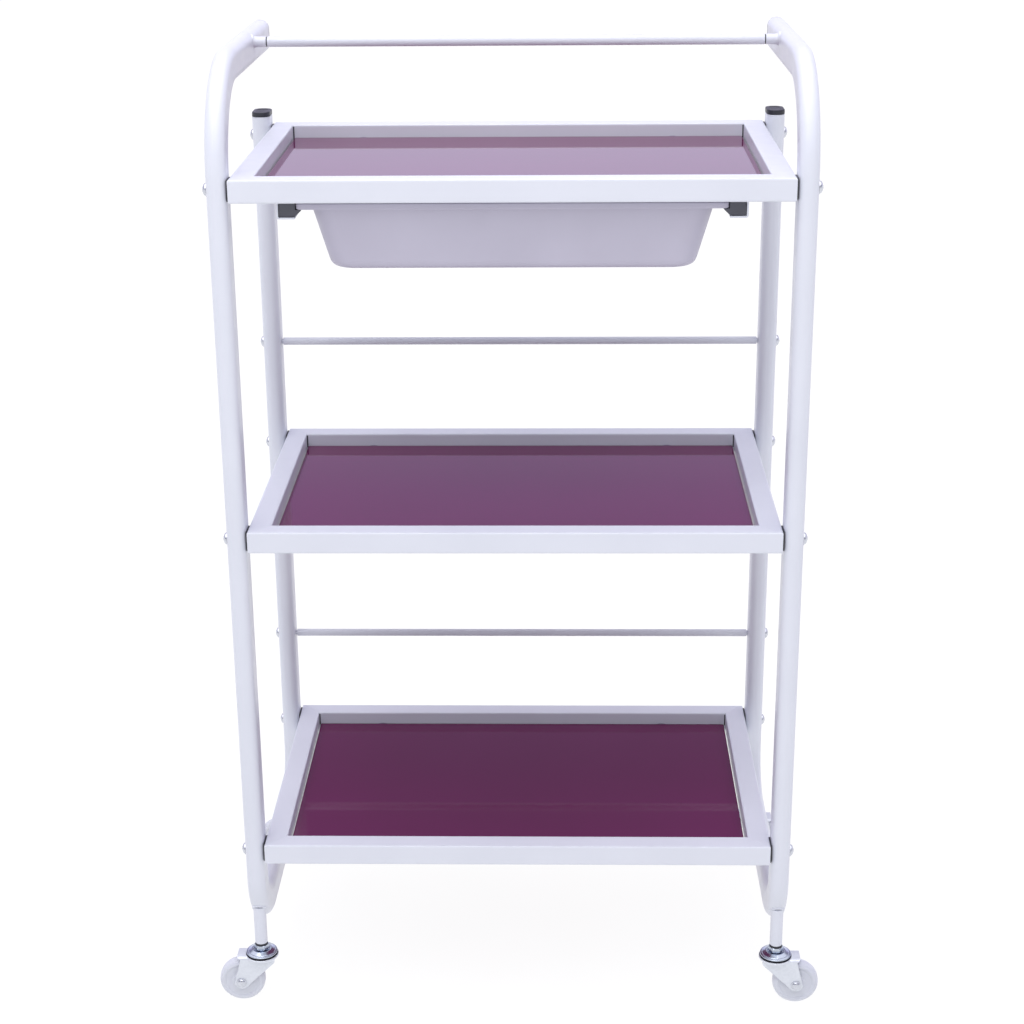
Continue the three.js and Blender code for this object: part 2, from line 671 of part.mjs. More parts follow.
/** The caster's stem: a threaded rod, its nut, and the king pin that the fork turns on. */
function casterStem() {
  const pinBottom = forkPlateBottomZ - CONTACT_GAP - KING_PIN_HEAD;
  const shaft = turned([
    [0, pinBottom],
    [KING_PIN_HEAD_DIAMETER / 2, pinBottom],
    [KING_PIN_HEAD_DIAMETER / 2, pinBottom + KING_PIN_HEAD],
    [KING_PIN_DIAMETER / 2, pinBottom + KING_PIN_HEAD],
    [KING_PIN_DIAMETER / 2, nutBottomZ + STEM_NUT_HEIGHT / 2],
    [STEM_DIAMETER / 2, nutBottomZ + STEM_NUT_HEIGHT / 2],
    [STEM_DIAMETER / 2, nutBottomZ + STEM_LENGTH],
    [0, nutBottomZ + STEM_LENGTH],
  ]);
  const nutDiameter = STEM_NUT_FLATS / Math.cos(Math.PI / HEX_SIDES);
  const nut = roundBar(nutDiameter, nutBottomZ, nutTopZ, HEX_SIDES);
  return toGeometry(toSolid(shaft).add(toSolid(nut)));
}

/** The domed cap over the swivel race, with a bore for the king pin. */
function swivelCap() {
  const rim = SWIVEL_CAP_DIAMETER / 2;
  const flat = SWIVEL_CAP_FLAT_DIAMETER / 2;
  const bore = KING_PIN_DIAMETER / 2 + BORE_PLAY;
  return turned([
    [bore, capBottomZ],
    [rim, capBottomZ],
    ...dome(rim, flat, capBottomZ + SWIVEL_CAP_RIM, SWIVEL_CAP_HEIGHT - SWIVEL_CAP_RIM),
    [bore, capTopZ],
    [bore, capBottomZ],
  ]);
}

/** One cheek of the fork, from its heel and crown down to the axle, drawn in XZ with the trail along +x. */
function forkCheekOutline() {
  const foot = FORK_FOOT_RADIUS;
  const top = forkPlateBottomZ + FORK_PLATE_THICKNESS / 2;
  const outline = new THREE.Shape();
  outline.moveTo(-FORK_HEEL_REACH, top);
  outline.lineTo(-FORK_HEEL_REACH, forkPlateBottomZ - FORK_WALL);
  outline.lineTo(CASTER_TRAIL - foot * Math.SQRT1_2, axleZ - foot * Math.SQRT1_2);
  outline.absarc(CASTER_TRAIL, axleZ, foot, -Math.PI * 0.75, 0, false);
  outline.lineTo(FORK_CROWN_REACH, forkPlateBottomZ);
  outline.lineTo(FORK_CROWN_REACH, top);
  return outline;
}

/** The flat crown that joins the swivel plate to the cheeks, over the wheel. */
function forkCrown() {
  const outline = polygon([
    [0, -forkOuterY],
    [FORK_CROWN_REACH - FORK_WALL, -forkOuterY],
    [FORK_CROWN_REACH, -forkOuterY + FORK_WALL],
    [FORK_CROWN_REACH, forkOuterY - FORK_WALL],
    [FORK_CROWN_REACH - FORK_WALL, forkOuterY],
    [0, forkOuterY],
  ]);
  return toSolid(upright(outline, forkPlateBottomZ, FORK_PLATE_THICKNESS));
}

/** The fork: a round swivel plate, a crown and two cheeks, bored for the king pin and the axle. */
function fork() {
  const plate = toSolid(roundBar(FORK_PLATE_DIAMETER, forkPlateBottomZ, forkPlateTopZ, WHEEL_STEPS));
  const cheeks = [-1, 1].map((side) => {
    const cheek = barAlongY(forkCheekOutline(), FORK_WALL);
    cheek.translate(0, side * (forkInnerY + FORK_WALL / 2), 0);
    return toSolid(cheek);
  });
  const pinBore = toSolid(roundBar(
    KING_PIN_DIAMETER + 2 * BORE_PLAY, forkPlateBottomZ - CUT_OVERRUN, forkPlateTopZ + CUT_OVERRUN,
  ));
  const axleBore = roundBar(AXLE_DIAMETER + 2 * BORE_PLAY, -2 * forkOuterY, 2 * forkOuterY);
  axleBore.rotateX(Math.PI / 2);
  axleBore.translate(CASTER_TRAIL, 0, axleZ);
  const joined = cheeks.reduce((sum, cheek) => sum.add(cheek), plate.add(forkCrown()));
  return toGeometry(cutAll(joined, [pinBore, toSolid(axleBore)]));
}

/** The wheel, turned about its own axis: a soft round tread, dished faces and a raised hub. */
function wheel() {
  const r = WHEEL_DIAMETER / 2;
  const half = WHEEL_WIDTH / 2;
  const edge = WHEEL_EDGE_RADIUS;
  const hub = WHEEL_HUB_DIAMETER / 2;
  const bore = AXLE_DIAMETER / 2 + AXLE_PLAY;
  const face = [
    [bore, half],
    [hub, half],
    [hub + WHEEL_DISH, half - WHEEL_DISH],
    [r - edge - WHEEL_DISH, half - WHEEL_DISH],
    [r - edge, half],
    [r, half - edge],
  ];
  const back = face.map(([radius, y]) => [radius, -y]);
  const profile = [...back, ...face.reverse(), [bore, -half]];
  const geometry = turned(profile, WHEEL_STEPS);
  geometry.rotateX(Math.PI / 2);
  return geometry;
}

/** The axle bolt, headed at both ends outside the cheeks. */
function axle() {
  const reach = forkOuterY + CONTACT_GAP;
  const shank = AXLE_DIAMETER / 2;
  const head = AXLE_HEAD_DIAMETER / 2;
  const upper = [
    [shank, reach],
    [head, reach],
    ...dome(head, 0, reach + AXLE_HEAD_RIM, AXLE_HEAD_HEIGHT - AXLE_HEAD_RIM),
  ];
  const lower = upper.map(([radius, height]) => [radius, -height]).reverse();
  const geometry = turned([...lower, ...upper], BOLT_STEPS);
  geometry.rotateX(Math.PI / 2);
  return geometry;
}

const stemGeometry = casterStem();
const capGeometry = swivelCap();
const forkGeometry = fork();
const wheelGeometry = wheel();
const axleGeometry = axle();

for (const [side, sign] of sides) {
  for (const [end, endSign] of ends) {
    const x = sign * legX;
    const y = endSign * legY;
    const wheelX = x + sign * CASTER_TRAIL;
    const place = `${end}_${side}`;
    addPiece(`caster_stem_${place}`, stemGeometry, chrome, x, y);
    addPiece(`caster_cap_${place}`, capGeometry, chrome, x, y);
    const turnedFork = addPiece(`caster_fork_${place}`, forkGeometry, zinc, x, y);
    turnedFork.rotation.z = sign < 0 ? Math.PI : 0;
    addPiece(`caster_wheel_${place}`, wheelGeometry, wheelRubber, wheelX, y, axleZ);
    addPiece(`caster_axle_${place}`, axleGeometry, zinc, wheelX, y, axleZ);
  }
}

export default trolley;
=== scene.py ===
"""Looks of the rolling salon trolley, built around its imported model.

The trolley is two bent side frames of flat-oval tube, three welded shelves with tinted panes, three round
cross rods, a sliding tray on two channel runners, and four swivelling casters. Every class after the
finishes is one sub-assembly: its fields are its sizes in millimetres, and its build method makes its
pieces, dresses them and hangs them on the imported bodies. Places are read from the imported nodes.
"""

import logging  # noqa: E402
import math  # noqa: E402
from dataclasses import dataclass, field  # noqa: E402
from enum import Enum  # noqa: E402

import bmesh  # noqa: E402
import bpy  # noqa: E402
import numpy as np  # noqa: E402
from mathutils import Matrix, Vector  # noqa: E402


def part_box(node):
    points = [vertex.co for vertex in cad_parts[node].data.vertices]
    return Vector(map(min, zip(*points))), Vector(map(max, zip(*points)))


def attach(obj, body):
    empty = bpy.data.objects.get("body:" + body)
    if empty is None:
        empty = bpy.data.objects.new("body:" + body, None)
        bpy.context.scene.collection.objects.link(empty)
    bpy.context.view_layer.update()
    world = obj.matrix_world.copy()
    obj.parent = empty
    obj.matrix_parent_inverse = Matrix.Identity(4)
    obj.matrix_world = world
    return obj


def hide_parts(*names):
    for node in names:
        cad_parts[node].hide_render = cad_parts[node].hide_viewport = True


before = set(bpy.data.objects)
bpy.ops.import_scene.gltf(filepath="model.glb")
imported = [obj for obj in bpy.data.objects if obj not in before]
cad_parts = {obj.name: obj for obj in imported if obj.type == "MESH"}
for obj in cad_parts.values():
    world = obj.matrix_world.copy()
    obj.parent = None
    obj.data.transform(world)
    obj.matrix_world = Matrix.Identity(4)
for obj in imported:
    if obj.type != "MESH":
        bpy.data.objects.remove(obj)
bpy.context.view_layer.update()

MM = 0.001
FRAME_BODY = "frame"
TRAY_BODY = "tray"
SMOOTH_ANGLE = math.radians(32.0)
MERGE_DISTANCE = 1e-6
FLAT = 0.25
SIDE_SHARE = 0.47  # the part of a side that one corner's curve may take
CUT_SHARE = 0.95  # the part of that which lies inside the extra point
MITRE_LIMIT = 0.6  # the least cosine that a mitred corner is stretched for
EDGE_SHARE = 0.3  # where the middle ring of a softened edge lies
EDGE_RING = 1.1  # where the ring lies that keeps an end's shading flat
RIPPLE = 0.12  # how far a weld bead swells and shrinks
PATTERN_LOW, PATTERN_HIGH = 0.3, 0.7  # the middle of a pattern, where its values lie

Array = np.ndarray
Colour = tuple[float, float, float]
Socket = bpy.types.NodeSocket

log = logging.getLogger("trolley")


class Axis(Enum):
    """A direction that a turned or carried shape lies along."""

    X = 1
    Y = 2
    Z = 0


class Side(Enum):
    """Left or right of the trolley, with the sign of its X."""

    LEFT = -1
    RIGHT = 1

    @property
    def word(self) -> str:
        """The side's name as node names hold it."""
        return self.name.lower()


class End(Enum):
    """Front or rear of the trolley, with the sign of its Y."""

    FRONT = -1
    REAR = 1

    @property
    def word(self) -> str:
        """The end's name as node names hold it."""
        return self.name.lower()


class Level(Enum):
    """One of the three shelves."""

    TOP = "top"
    MIDDLE = "middle"
    BOTTOM = "bottom"


class Slot(Enum):
    """The record's material slots."""

    WHITE_COAT = "white_coat"
    TINTED_GLASS = "tinted_glass"
    BLACK_PLASTIC = "black_plastic"
    WHITE_PLASTIC = "white_plastic"
    GREY_PLASTIC = "grey_plastic"
    WHEEL_PLASTIC = "wheel_plastic"
    ZINC = "zinc"
    CHROME = "chrome"


# ---------------------------------------------------------------- shapes as arrays


@dataclass(frozen=True)
class Extent:
    """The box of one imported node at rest, in millimetres.

    Args:
        low: The lowest corner.
        high: The highest corner.
    """

    low: Array
    high: Array

    @classmethod
    def of(cls, node: str) -> "Extent":
        """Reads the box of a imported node.

        Args:
            node: The node's name.

        Returns:
            Its box.
        """
        low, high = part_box(node)
        return cls(np.array(low) / MM, np.array(high) / MM)

    @property
    def middle(self) -> Array:
        """The centre of the box."""
        return (self.low + self.high) / 2

    @property
    def foot(self) -> Array:
        """The point on the floor under the centre."""
        return self.middle * np.array([1.0, 1.0, 0.0])

    @property
    def size(self) -> Array:
        """The box's lengths along X, Y and Z."""
        return self.high - self.low


def soften(
    corners: Array, cuts: float | Array, closed: bool = True, steps: int = 4, flat: float = FLAT,
) -> Array:
    """Rounds the corners of a polyline of any dimension.

    Each corner P gives way to the curve (1-t)^2 A + 2t(1-t) P + t^2 B. A and B lie on the corner's two
    sides, one cut away from it, and one more point just outside each keeps the shading of the flats flat.

    Args:
        corners: Corner points, one a row.
        cuts: How far from the corner each curve starts, for all corners or one each.
        closed: Whether the last corner joins the first. An open line keeps its end points.
        steps: Parts of each curve.
        flat: Distance of the extra points.

    Returns:
        The points of the softened line.
    """
    corners = np.asarray(corners, float)
    here = corners if closed else corners[1:-1]
    before = np.roll(corners, 1, axis=0) if closed else corners[:-2]
    after = np.roll(corners, -1, axis=0) if closed else corners[2:]
    back, ahead = before - here, after - here
    back_length = np.linalg.norm(back, axis=1, keepdims=True)
    ahead_length = np.linalg.norm(ahead, axis=1, keepdims=True)
    reach = np.minimum(back_length, ahead_length) * SIDE_SHARE
    cut = np.minimum(np.broadcast_to(np.reshape(cuts, (-1, 1)), (len(here), 1)), reach * CUT_SHARE)
    outer = np.minimum(cut + flat, reach)
    start, end = here + back / back_length * cut, here + ahead / ahead_length * cut
    far_start, far_end = here + back / back_length * outer, here + ahead / ahead_length * outer
    t = np.linspace(0.0, 1.0, steps + 1)[None, :, None]
    curve = (1 - t) ** 2 * start[:, None] + 2 * t * (1 - t) * here[:, None] + t**2 * end[:, None]
    softened = np.concatenate([far_start[:, None], curve, far_end[:, None]], axis=1)
    softened = softened.reshape(-1, corners.shape[1])
    return softened if closed else np.vstack([corners[:1], softened, corners[-1:]])


def rounded_loops(
    half_x: Array, half_y: Array, radius: Array, steps: int = 6, flat: float = FLAT,
) -> Array:
    """Rounded rectangles about the origin, anticlockwise, one for each entry of the three arrays.

    The point at angle a of a corner is (centre + radius (cos a, sin a)), where the corner's centre is the
    half size less the radius. Each arc has one more point at each end, moved along the side by flat.

    Args:
        half_x: Half widths.
        half_y: Half depths.
        radius: Corner radii.
        steps: Parts of each quarter arc.
        flat: Distance of the extra points along the sides.

    Returns:
        Points of shape (loops, points, 2).
    """
    half_x, half_y, radius = (np.atleast_1d(np.asarray(a, float))[:, None] for a in (half_x, half_y, radius))
    arc = np.concatenate([[0.0], np.linspace(0.0, 1.0, steps + 1), [1.0]]) * math.pi / 2
    shift = np.concatenate([[-flat], np.zeros(steps + 1), [flat]])
    angle = (arc[None, :] + np.arange(4)[:, None] * math.pi / 2).ravel()
    shift = np.tile(shift, 4)
    side_x = np.repeat([1.0, -1.0, -1.0, 1.0], steps + 3)
    side_y = np.repeat([1.0, 1.0, -1.0, -1.0], steps + 3)
    x = side_x * (half_x - radius) + radius * np.cos(angle) - shift * np.sin(angle)
    y = side_y * (half_y - radius) + radius * np.sin(angle) + shift * np.cos(angle)
    return np.stack([x, y], axis=-1)


def raised(loops: Array, heights: Array) -> Array:
    """Gives each of a set of flat loops its height."""
    column = np.broadcast_to(heights[:, None, None], loops.shape[:2] + (1,))
    return np.concatenate([loops, column], axis=-1)


def stacked(section: Array, steps: int = 6) -> Array:
    """Rounded rectangles stacked along Z: the skin of a tub, a pane or a cap.

    Args:
        section: Rows of half width, half depth, height and corner radius.
        steps: Parts of each quarter arc.

    Returns:
        A grid of rings.
    """
    return raised(rounded_loops(section[:, 0], section[:, 1], section[:, 3], steps), section[:, 2])


def revolved(radii: Array, heights: Array, steps: int = 48) -> Array:
    """Rings turned about Z: the point at angle t of a ring is (r cos t, r sin t, h).

    Args:
        radii: One radius a ring, or one for each point of each ring.
        heights: One height a ring, or one for each point of each ring.
        steps: Points of a ring.

    Returns:
        A grid of rings.
    """
    turn = np.arange(steps) * 2 * math.pi / steps
    shape = (len(radii), steps)
    r = np.broadcast_to(np.reshape(radii, (len(radii), -1)), shape)
    h = np.broadcast_to(np.reshape(heights, (len(radii), -1)), shape)
    return np.stack([r * np.cos(turn), r * np.sin(turn), h], axis=-1)


def turned(
    profile: Array, cuts: float | Array = 0.0, steps: int = 48, closed: bool = False, parts: int = 3,
) -> Array:
    """A shape turned about Z from a profile of radius and height.

    Args:
        profile: Corners of the profile, one a row.
        cuts: How far each corner is cut back, or 0 for a profile that is used as it is.
        steps: Points of a ring.
        closed: Whether the profile is an outline, for a shape with a hole through it.
        parts: Parts of each corner's curve.

    Returns:
        A grid of rings.
    """
    line = soften(profile, cuts, closed, parts) if np.any(cuts) else np.asarray(profile, float)
    return revolved(line[:, 0], line[:, 1], steps)


def hexagon(flats: float, steps: int) -> Array:
    """Radii of a hexagon: half the width over its flats, over the cosine of the angle from a flat's middle."""
    turn = np.arange(steps) * 2 * math.pi / steps
    from_flat = np.mod(turn, math.pi / 3) - math.pi / 6
    return flats / 2 / np.cos(from_flat)


def shrunk(outline: Array, inset: float) -> Array:
    """Moves a closed outline inwards along its mitred vertex normals.

    Args:
        outline: Points of a closed outline in a plane.
        inset: How far in.

    Returns:
        The smaller outline.
    """
    step = np.roll(outline, -1, axis=0) - outline
    area = np.sum(outline[:, 0] * np.roll(outline[:, 1], -1) - outline[:, 1] * np.roll(outline[:, 0], -1))
    normal = np.sign(area) * np.stack([-step[:, 1], step[:, 0]], axis=1)
    normal /= np.linalg.norm(normal, axis=1, keepdims=True)
    joint = normal + np.roll(normal, 1, axis=0)
    joint /= np.linalg.norm(joint, axis=1, keepdims=True)
    stretch = 1 / np.maximum(np.sum(joint * normal, axis=1, keepdims=True), MITRE_LIMIT)
    return outline + joint * stretch * inset


def prism(outline: Array, start: float, end: float, edge: float = 0.4) -> Array:
    """Carries a closed outline along Z, with a softened edge at both ends.

    Args:
        outline: Points of the closed outline.
        start: Height of the first end.
        end: Height of the other end.
        edge: Size of the softened edge, less than the radius of the outline's tightest bend.

    Returns:
        A grid of rings.
    """
    inset = np.array([EDGE_RING * edge, edge, EDGE_SHARE * edge, 0.0, 0.0])
    along = np.array([0.0, 0.0, EDGE_SHARE * edge, edge, edge + FLAT])
    loops = np.stack([shrunk(outline, value) for value in np.concatenate([inset, inset[::-1]])])
    return raised(loops, np.concatenate([start + along, (end - along)[::-1]]))


def carried(path: Array, across: Array, up: Array, section: Array) -> Array:
    """Sweeps a section along a path: point = path + across * u + up * v.

    Args:
        path: Stations, of shape (stations, 3).
        across: Unit vectors of the section's first direction, one a station.
        up: Unit vectors of its second direction, one a station.
        section: Its points, of shape (points, 2) or (stations, points, 2).

    Returns:
        A grid of rings.
    """
    section = np.broadcast_to(section, (len(path),) + section.shape[-2:])
    return path[:, None] + across[:, None] * section[..., :1] + up[:, None] * section[..., 1:]


def bead(line: Array, thickness: float, ripples: int = 0, sides: int = 8) -> Array:
    """A weld bead round a closed line: circles square to the line, whose radius swells with each ripple.

    The radius at part s of the line is thickness / 2 times (1 + ripple cos(2 pi ripples s)).

    Args:
        line: Points of the closed line.
        thickness: The bead's diameter.
        ripples: Swellings in one round.
        sides: Points of each circle.

    Returns:
        A grid of rings, closed both ways.
    """
    along = np.roll(line, -1, axis=0) - np.roll(line, 1, axis=0)
    along /= np.linalg.norm(along, axis=1, keepdims=True)
    across = np.cross(along, np.array([0.0, 0.0, 1.0]))
    across /= np.linalg.norm(across, axis=1, keepdims=True)
    up = np.cross(across, along)
    part = np.arange(len(line)) / len(line)
    radius = thickness / 2 * (1 + RIPPLE * np.cos(2 * math.pi * ripples * part))
    turn = np.arange(sides) * 2 * math.pi / sides
    circle = np.stack([np.cos(turn), np.sin(turn)], axis=-1)
    return carried(line, across, up, radius[:, None, None] * circle[None])


def laid(grid: Array, axis: Axis, place: Array, sign: float = 1.0) -> Array:
    """Lays a shape that stands along Z on another axis, and moves it to its place.

    Args:
        grid: The shape's points.
        axis: The axis it is to lie along.
        place: Where its origin goes.
        sign: -1 points it the other way.

    Returns:
        The moved points.
    """
    grid = np.asarray(grid, float) * np.array([1.0, 1.0, sign])
    return np.roll(grid, axis.value, axis=-1) + place


class Skin:
    """Gathers grid surfaces, in millimetres, and makes one mesh object of them.

    Args:
        name: The piece's name.
    """

    def __init__(self, name: str) -> None:
        """Starts an empty skin of that name."""
        self.name = name
        self._points: list[Array] = []
        self._faces: list[list[int]] = []
        self._count = 0

    def add(self, grid: Array, ring_rows: bool = False, capped: bool = True) -> "Skin":
        """Adds a grid whose columns close into rings.

        Args:
            grid: Points of shape (rows, columns, 3).
            ring_rows: Whether the last row joins the first.
            capped: Whether the first and last rings are filled.

        Returns:
            This skin.
        """
        rows, columns = grid.shape[:2]
        index = np.arange(rows * columns).reshape(rows, columns) + self._count
        wide = np.hstack([index, index[:, :1]])
        if ring_rows:
            wide = np.vstack([wide, wide[:1]])
        quads = np.stack([wide[:-1, :-1], wide[:-1, 1:], wide[1:, 1:], wide[1:, :-1]], axis=-1)
        self._faces += quads.reshape(-1, 4).tolist()
        if capped and not ring_rows:
            self._faces += [index[0].tolist(), index[-1].tolist()]
        self._points.append(np.reshape(grid, (-1, 3)))
        self._count += rows * columns
        return self

    def piece(self) -> bpy.types.Object:
        """Makes the mesh object: doubles merged, faces turned outwards, sharp edges kept by angle.

        Returns:
            The object, at the origin.
        """
        mesh = bpy.data.meshes.new(self.name)
        mesh.from_pydata(np.vstack(self._points) * MM, [], self._faces)
        work = bmesh.new()
        work.from_mesh(mesh)
        bmesh.ops.remove_doubles(work, verts=work.verts, dist=MERGE_DISTANCE)
        bmesh.ops.dissolve_degenerate(work, edges=work.edges, dist=MERGE_DISTANCE)
        bmesh.ops.recalc_face_normals(work, faces=work.faces)
        work.to_mesh(mesh)
        work.free()
        mesh.polygons.foreach_set("use_smooth", np.ones(len(mesh.polygons), bool))
        mesh.set_sharp_from_angle(angle=SMOOTH_ANGLE)
        made = bpy.data.objects.new(self.name, mesh)
        bpy.context.scene.collection.objects.link(made)
        return made


# ---------------------------------------------------------------- finishes


class Bench:
    """A finish's node tree while it is put together.

    Args:
        name: The material's name.
    """

    def __init__(self, name: str) -> None:
        """Starts a material with its shader and its object coordinates."""
        self.material = bpy.data.materials.new(name)
        self.material.use_nodes = True
        self.tree = self.material.node_tree
        self.shader = self.tree.nodes["Principled BSDF"]
        self.place = self.tree.nodes.new("ShaderNodeTexCoord").outputs["Object"]

    def settings(self, **values: float | Colour) -> None:
        """Sets the shader's own sockets, named with _ for each space."""
        for name, value in values.items():
            socket = self.shader.inputs[name.replace("_", " ").title().replace("Ior", "IOR")]
            socket.default_value = (*value, 1.0) if socket.type == "RGBA" else value

    def node(self, kind: str, source: Socket, into: str, **values: float | Colour) -> bpy.types.Node:
        """Adds a node and feeds it.

        Args:
            kind: The node's kind, without its first words.
            source: What feeds it.
            into: The socket that is fed.
            values: Its other sockets, named with _ for each space.

        Returns:
            The node.
        """
        node = self.tree.nodes.new(f"ShaderNode{kind}")
        for name, value in values.items():
            node.inputs[name.replace("_", " ").title()].default_value = value
        self.tree.links.new(source, node.inputs[into])
        return node

    def stretched(self, scale: Colour) -> Socket:
        """Object coordinates stretched along the axes, for brushed or streaky patterns."""
        return self.node("Mapping", self.place, "Vector", scale=scale).outputs["Vector"]

    def noise(self, scale: float, detail: float = 2.0, place: Socket | None = None) -> Socket:
        """Noise of that many features a metre."""
        return self.node("TexNoise", place or self.place, "Vector", scale=scale, detail=detail).outputs["Fac"]

    def cells(self, scale: float) -> Socket:
        """A random grey for each crystal-like cell, of that many cells a metre."""
        return self.node("TexVoronoi", self.place, "Vector", scale=scale).outputs["Color"]

    def spread(self, source: Socket, low: float, high: float, target: str) -> None:
        """Drives a shader socket from low to high over the middle of a pattern."""
        node = self.node(
            "MapRange", source, "Value", from_min=PATTERN_LOW, from_max=PATTERN_HIGH, to_min=low, to_max=high,
        )
        self.tree.links.new(node.outputs["Result"], self.shader.inputs[target])

    def tint(self, source: Socket, dark: Colour, light: Colour) -> None:
        """Colours the base from dark to light over a pattern."""
        ramp = self.node("ValToRGB", source, "Fac")
        stops = ((PATTERN_LOW, dark), (PATTERN_HIGH, light))
        for element, (position, colour) in zip(ramp.color_ramp.elements, stops):
            element.position = position
            element.color = (*colour, 1.0)
        self.tree.links.new(ramp.outputs["Color"], self.shader.inputs["Base Color"])

    def bump(self, *layers: tuple[Socket, float, float]) -> None:
        """Raises the surface by one or more layers of pattern, strength and depth in millimetres."""
        normal = None
        for source, strength, depth in layers:
            node = self.node("Bump", source, "Height", strength=strength, distance=depth * MM)
            if normal is not None:
                self.tree.links.new(normal, node.inputs["Normal"])
            normal = node.outputs["Normal"]
        self.tree.links.new(normal, self.shader.inputs["Normal"])


@dataclass(frozen=True)
class Finish:
    """A surface finish: two close colours, the shine and the record's slot.

    Args:
        name: The material's name.
        slot: The record's slot that it stands for; not used.
        dark: The darker of its two colours.
        light: The lighter one.
        rough_low: Roughness where it is shiniest.
        rough_high: Roughness where it is dullest.
    """

    name: str
    slot: Slot
    dark: Colour
    light: Colour
    rough_low: float
    rough_high: float

    def material(self) -> bpy.types.Material:
        """The material, made the first time it is asked for."""
        known = bpy.data.materials.get(self.name)
        if known is not None:
            return known
        bench = Bench(self.name)
        self.fill(bench)
        return bench.material

    def fill(self, bench: Bench) -> None:
        """Puts the finish's patterns on the bench."""
        bench.tint(bench.noise(14.0, 3.0), self.dark, self.light)
        bench.spread(bench.noise(90.0, 3.0), self.rough_low, self.rough_high, "Roughness")


@dataclass(frozen=True)
class PowderCoat(Finish):
    """Baked powder paint: a soft orange peel, slightly uneven gloss and faint handling marks."""

    def fill(self, bench: Bench) -> None:
        """Adds the orange peel and a fine tooth to the two colours."""
        super().fill(bench)
        bench.settings(specular_ior_level=0.5)
        bench.bump((bench.noise(520.0, 2.0), 0.10, 0.05), (bench.noise(1700.0, 1.0), 0.06, 0.02))


@dataclass(frozen=True)
class TintedGlass(Finish):
    """Dark plum float glass: a mirror-flat face with faint wipe marks and a slight cloud in the tint."""

    def fill(self, bench: Bench) -> None:
        """Adds wipe marks, stretched across the pane, to the gloss."""
        bench.tint(bench.noise(5.0, 2.0), self.dark, self.light)
        wipes = bench.noise(22.0, 4.0, bench.stretched((0.35, 1.0, 1.0)))
        bench.spread(wipes, self.rough_low, self.rough_high, "Roughness")
        bench.settings(ior=1.5)


@dataclass(frozen=True)
class MouldedPlastic(Finish):
    """Moulded plastic with a fine spark grain."""

    grain: float = 900.0
    depth: float = 0.05

    def fill(self, bench: Bench) -> None:
        """Adds the moulded grain to the two colours."""
        super().fill(bench)
        bench.bump((bench.noise(self.grain, 3.0), 0.18, self.depth))


@dataclass(frozen=True)
class FrostedPlastic(Finish):
    """Milky see-through wheel plastic that glows a little where light enters it."""

    def fill(self, bench: Bench) -> None:
        """Adds light below the surface and the dull tread grain."""
        super().fill(bench)
        bench.settings(subsurface_weight=0.35, subsurface_scale=0.004, subsurface_radius=(1.0, 0.95, 1.0))
        bench.bump((bench.noise(1100.0, 2.0), 0.12, 0.03))


@dataclass(frozen=True)
class PlatedSteel(Finish):
    """Bright plated steel, with plating crystals and hairline brush marks."""

    crystals: float = 700.0
    metal: float = 1.0

    def fill(self, bench: Bench) -> None:
        """Adds metal, crystals and hairlines."""
        bench.settings(metallic=self.metal)
        bench.tint(bench.cells(self.crystals), self.dark, self.light)
        bench.spread(bench.noise(160.0, 4.0), self.rough_low, self.rough_high, "Roughness")
        hairlines = bench.noise(300.0, 3.0, bench.stretched((1.0, 1.0, 9.0)))
        bench.bump((hairlines, 0.04, 0.02))


@dataclass(frozen=True)
class FloorPaint(Finish):
    """A plain pale studio floor that gives back some light of its own."""

    glow: float = 0.92

    def fill(self, bench: Bench) -> None:
        """Adds the floor's own light to the two near-whites."""
        super().fill(bench)
        bench.settings(emission_color=(1.0, 1.0, 1.0), emission_strength=self.glow, specular_ior_level=0.0)


WHITE_COAT = PowderCoat(
    "white_powder_coat", Slot.WHITE_COAT, (0.69, 0.712, 0.785), (0.715, 0.737, 0.81), 0.30, 0.42,
)
PLUM_GLASS = TintedGlass(
    "plum_glass", Slot.TINTED_GLASS, (0.112, 0.0035, 0.064), (0.126, 0.0045, 0.074), 0.015, 0.045,
)
BLACK_PLASTIC = MouldedPlastic(
    "black_moulded_plastic", Slot.BLACK_PLASTIC, (0.016, 0.017, 0.026), (0.026, 0.027, 0.038), 0.34, 0.5,
)
SLATE_PLASTIC = MouldedPlastic(
    "slate_slide_plastic", Slot.BLACK_PLASTIC, (0.070, 0.072, 0.092), (0.090, 0.092, 0.115), 0.34, 0.5,
)
WHITE_PLASTIC = MouldedPlastic(
    "white_moulded_plastic", Slot.WHITE_PLASTIC, (0.68, 0.69, 0.76), (0.72, 0.73, 0.80), 0.38, 0.5,
)
TRAY_PLASTIC = MouldedPlastic(
    "grey_tray_plastic", Slot.GREY_PLASTIC, (0.47, 0.45, 0.55), (0.50, 0.48, 0.585), 0.36, 0.46, 1300.0, 0.04,
)
PAD_RUBBER = MouldedPlastic(
    "pad_rubber", Slot.GREY_PLASTIC, (0.24, 0.22, 0.31), (0.29, 0.27, 0.36), 0.5, 0.62,
)
WHEEL_PLASTIC = FrostedPlastic(
    "frosted_wheel_plastic", Slot.WHEEL_PLASTIC, (0.60, 0.62, 0.69), (0.66, 0.68, 0.74), 0.40, 0.52,
)
ZINC = PlatedSteel("bright_zinc", Slot.ZINC, (0.60, 0.62, 0.68), (0.64, 0.66, 0.72), 0.22, 0.34, 500.0)
PALE_ZINC = PlatedSteel(
    "pale_zinc", Slot.ZINC, (0.70, 0.73, 0.79), (0.73, 0.76, 0.82), 0.40, 0.52, 500.0, 0.5,
)
CHROME = PlatedSteel("polished_chrome", Slot.CHROME, (0.50, 0.55, 0.64), (0.54, 0.59, 0.68), 0.16, 0.22, 60.0)
FLOOR = FloorPaint("pale_floor", Slot.WHITE_COAT, (0.115, 0.115, 0.115), (0.125, 0.125, 0.125), 0.7, 0.8)


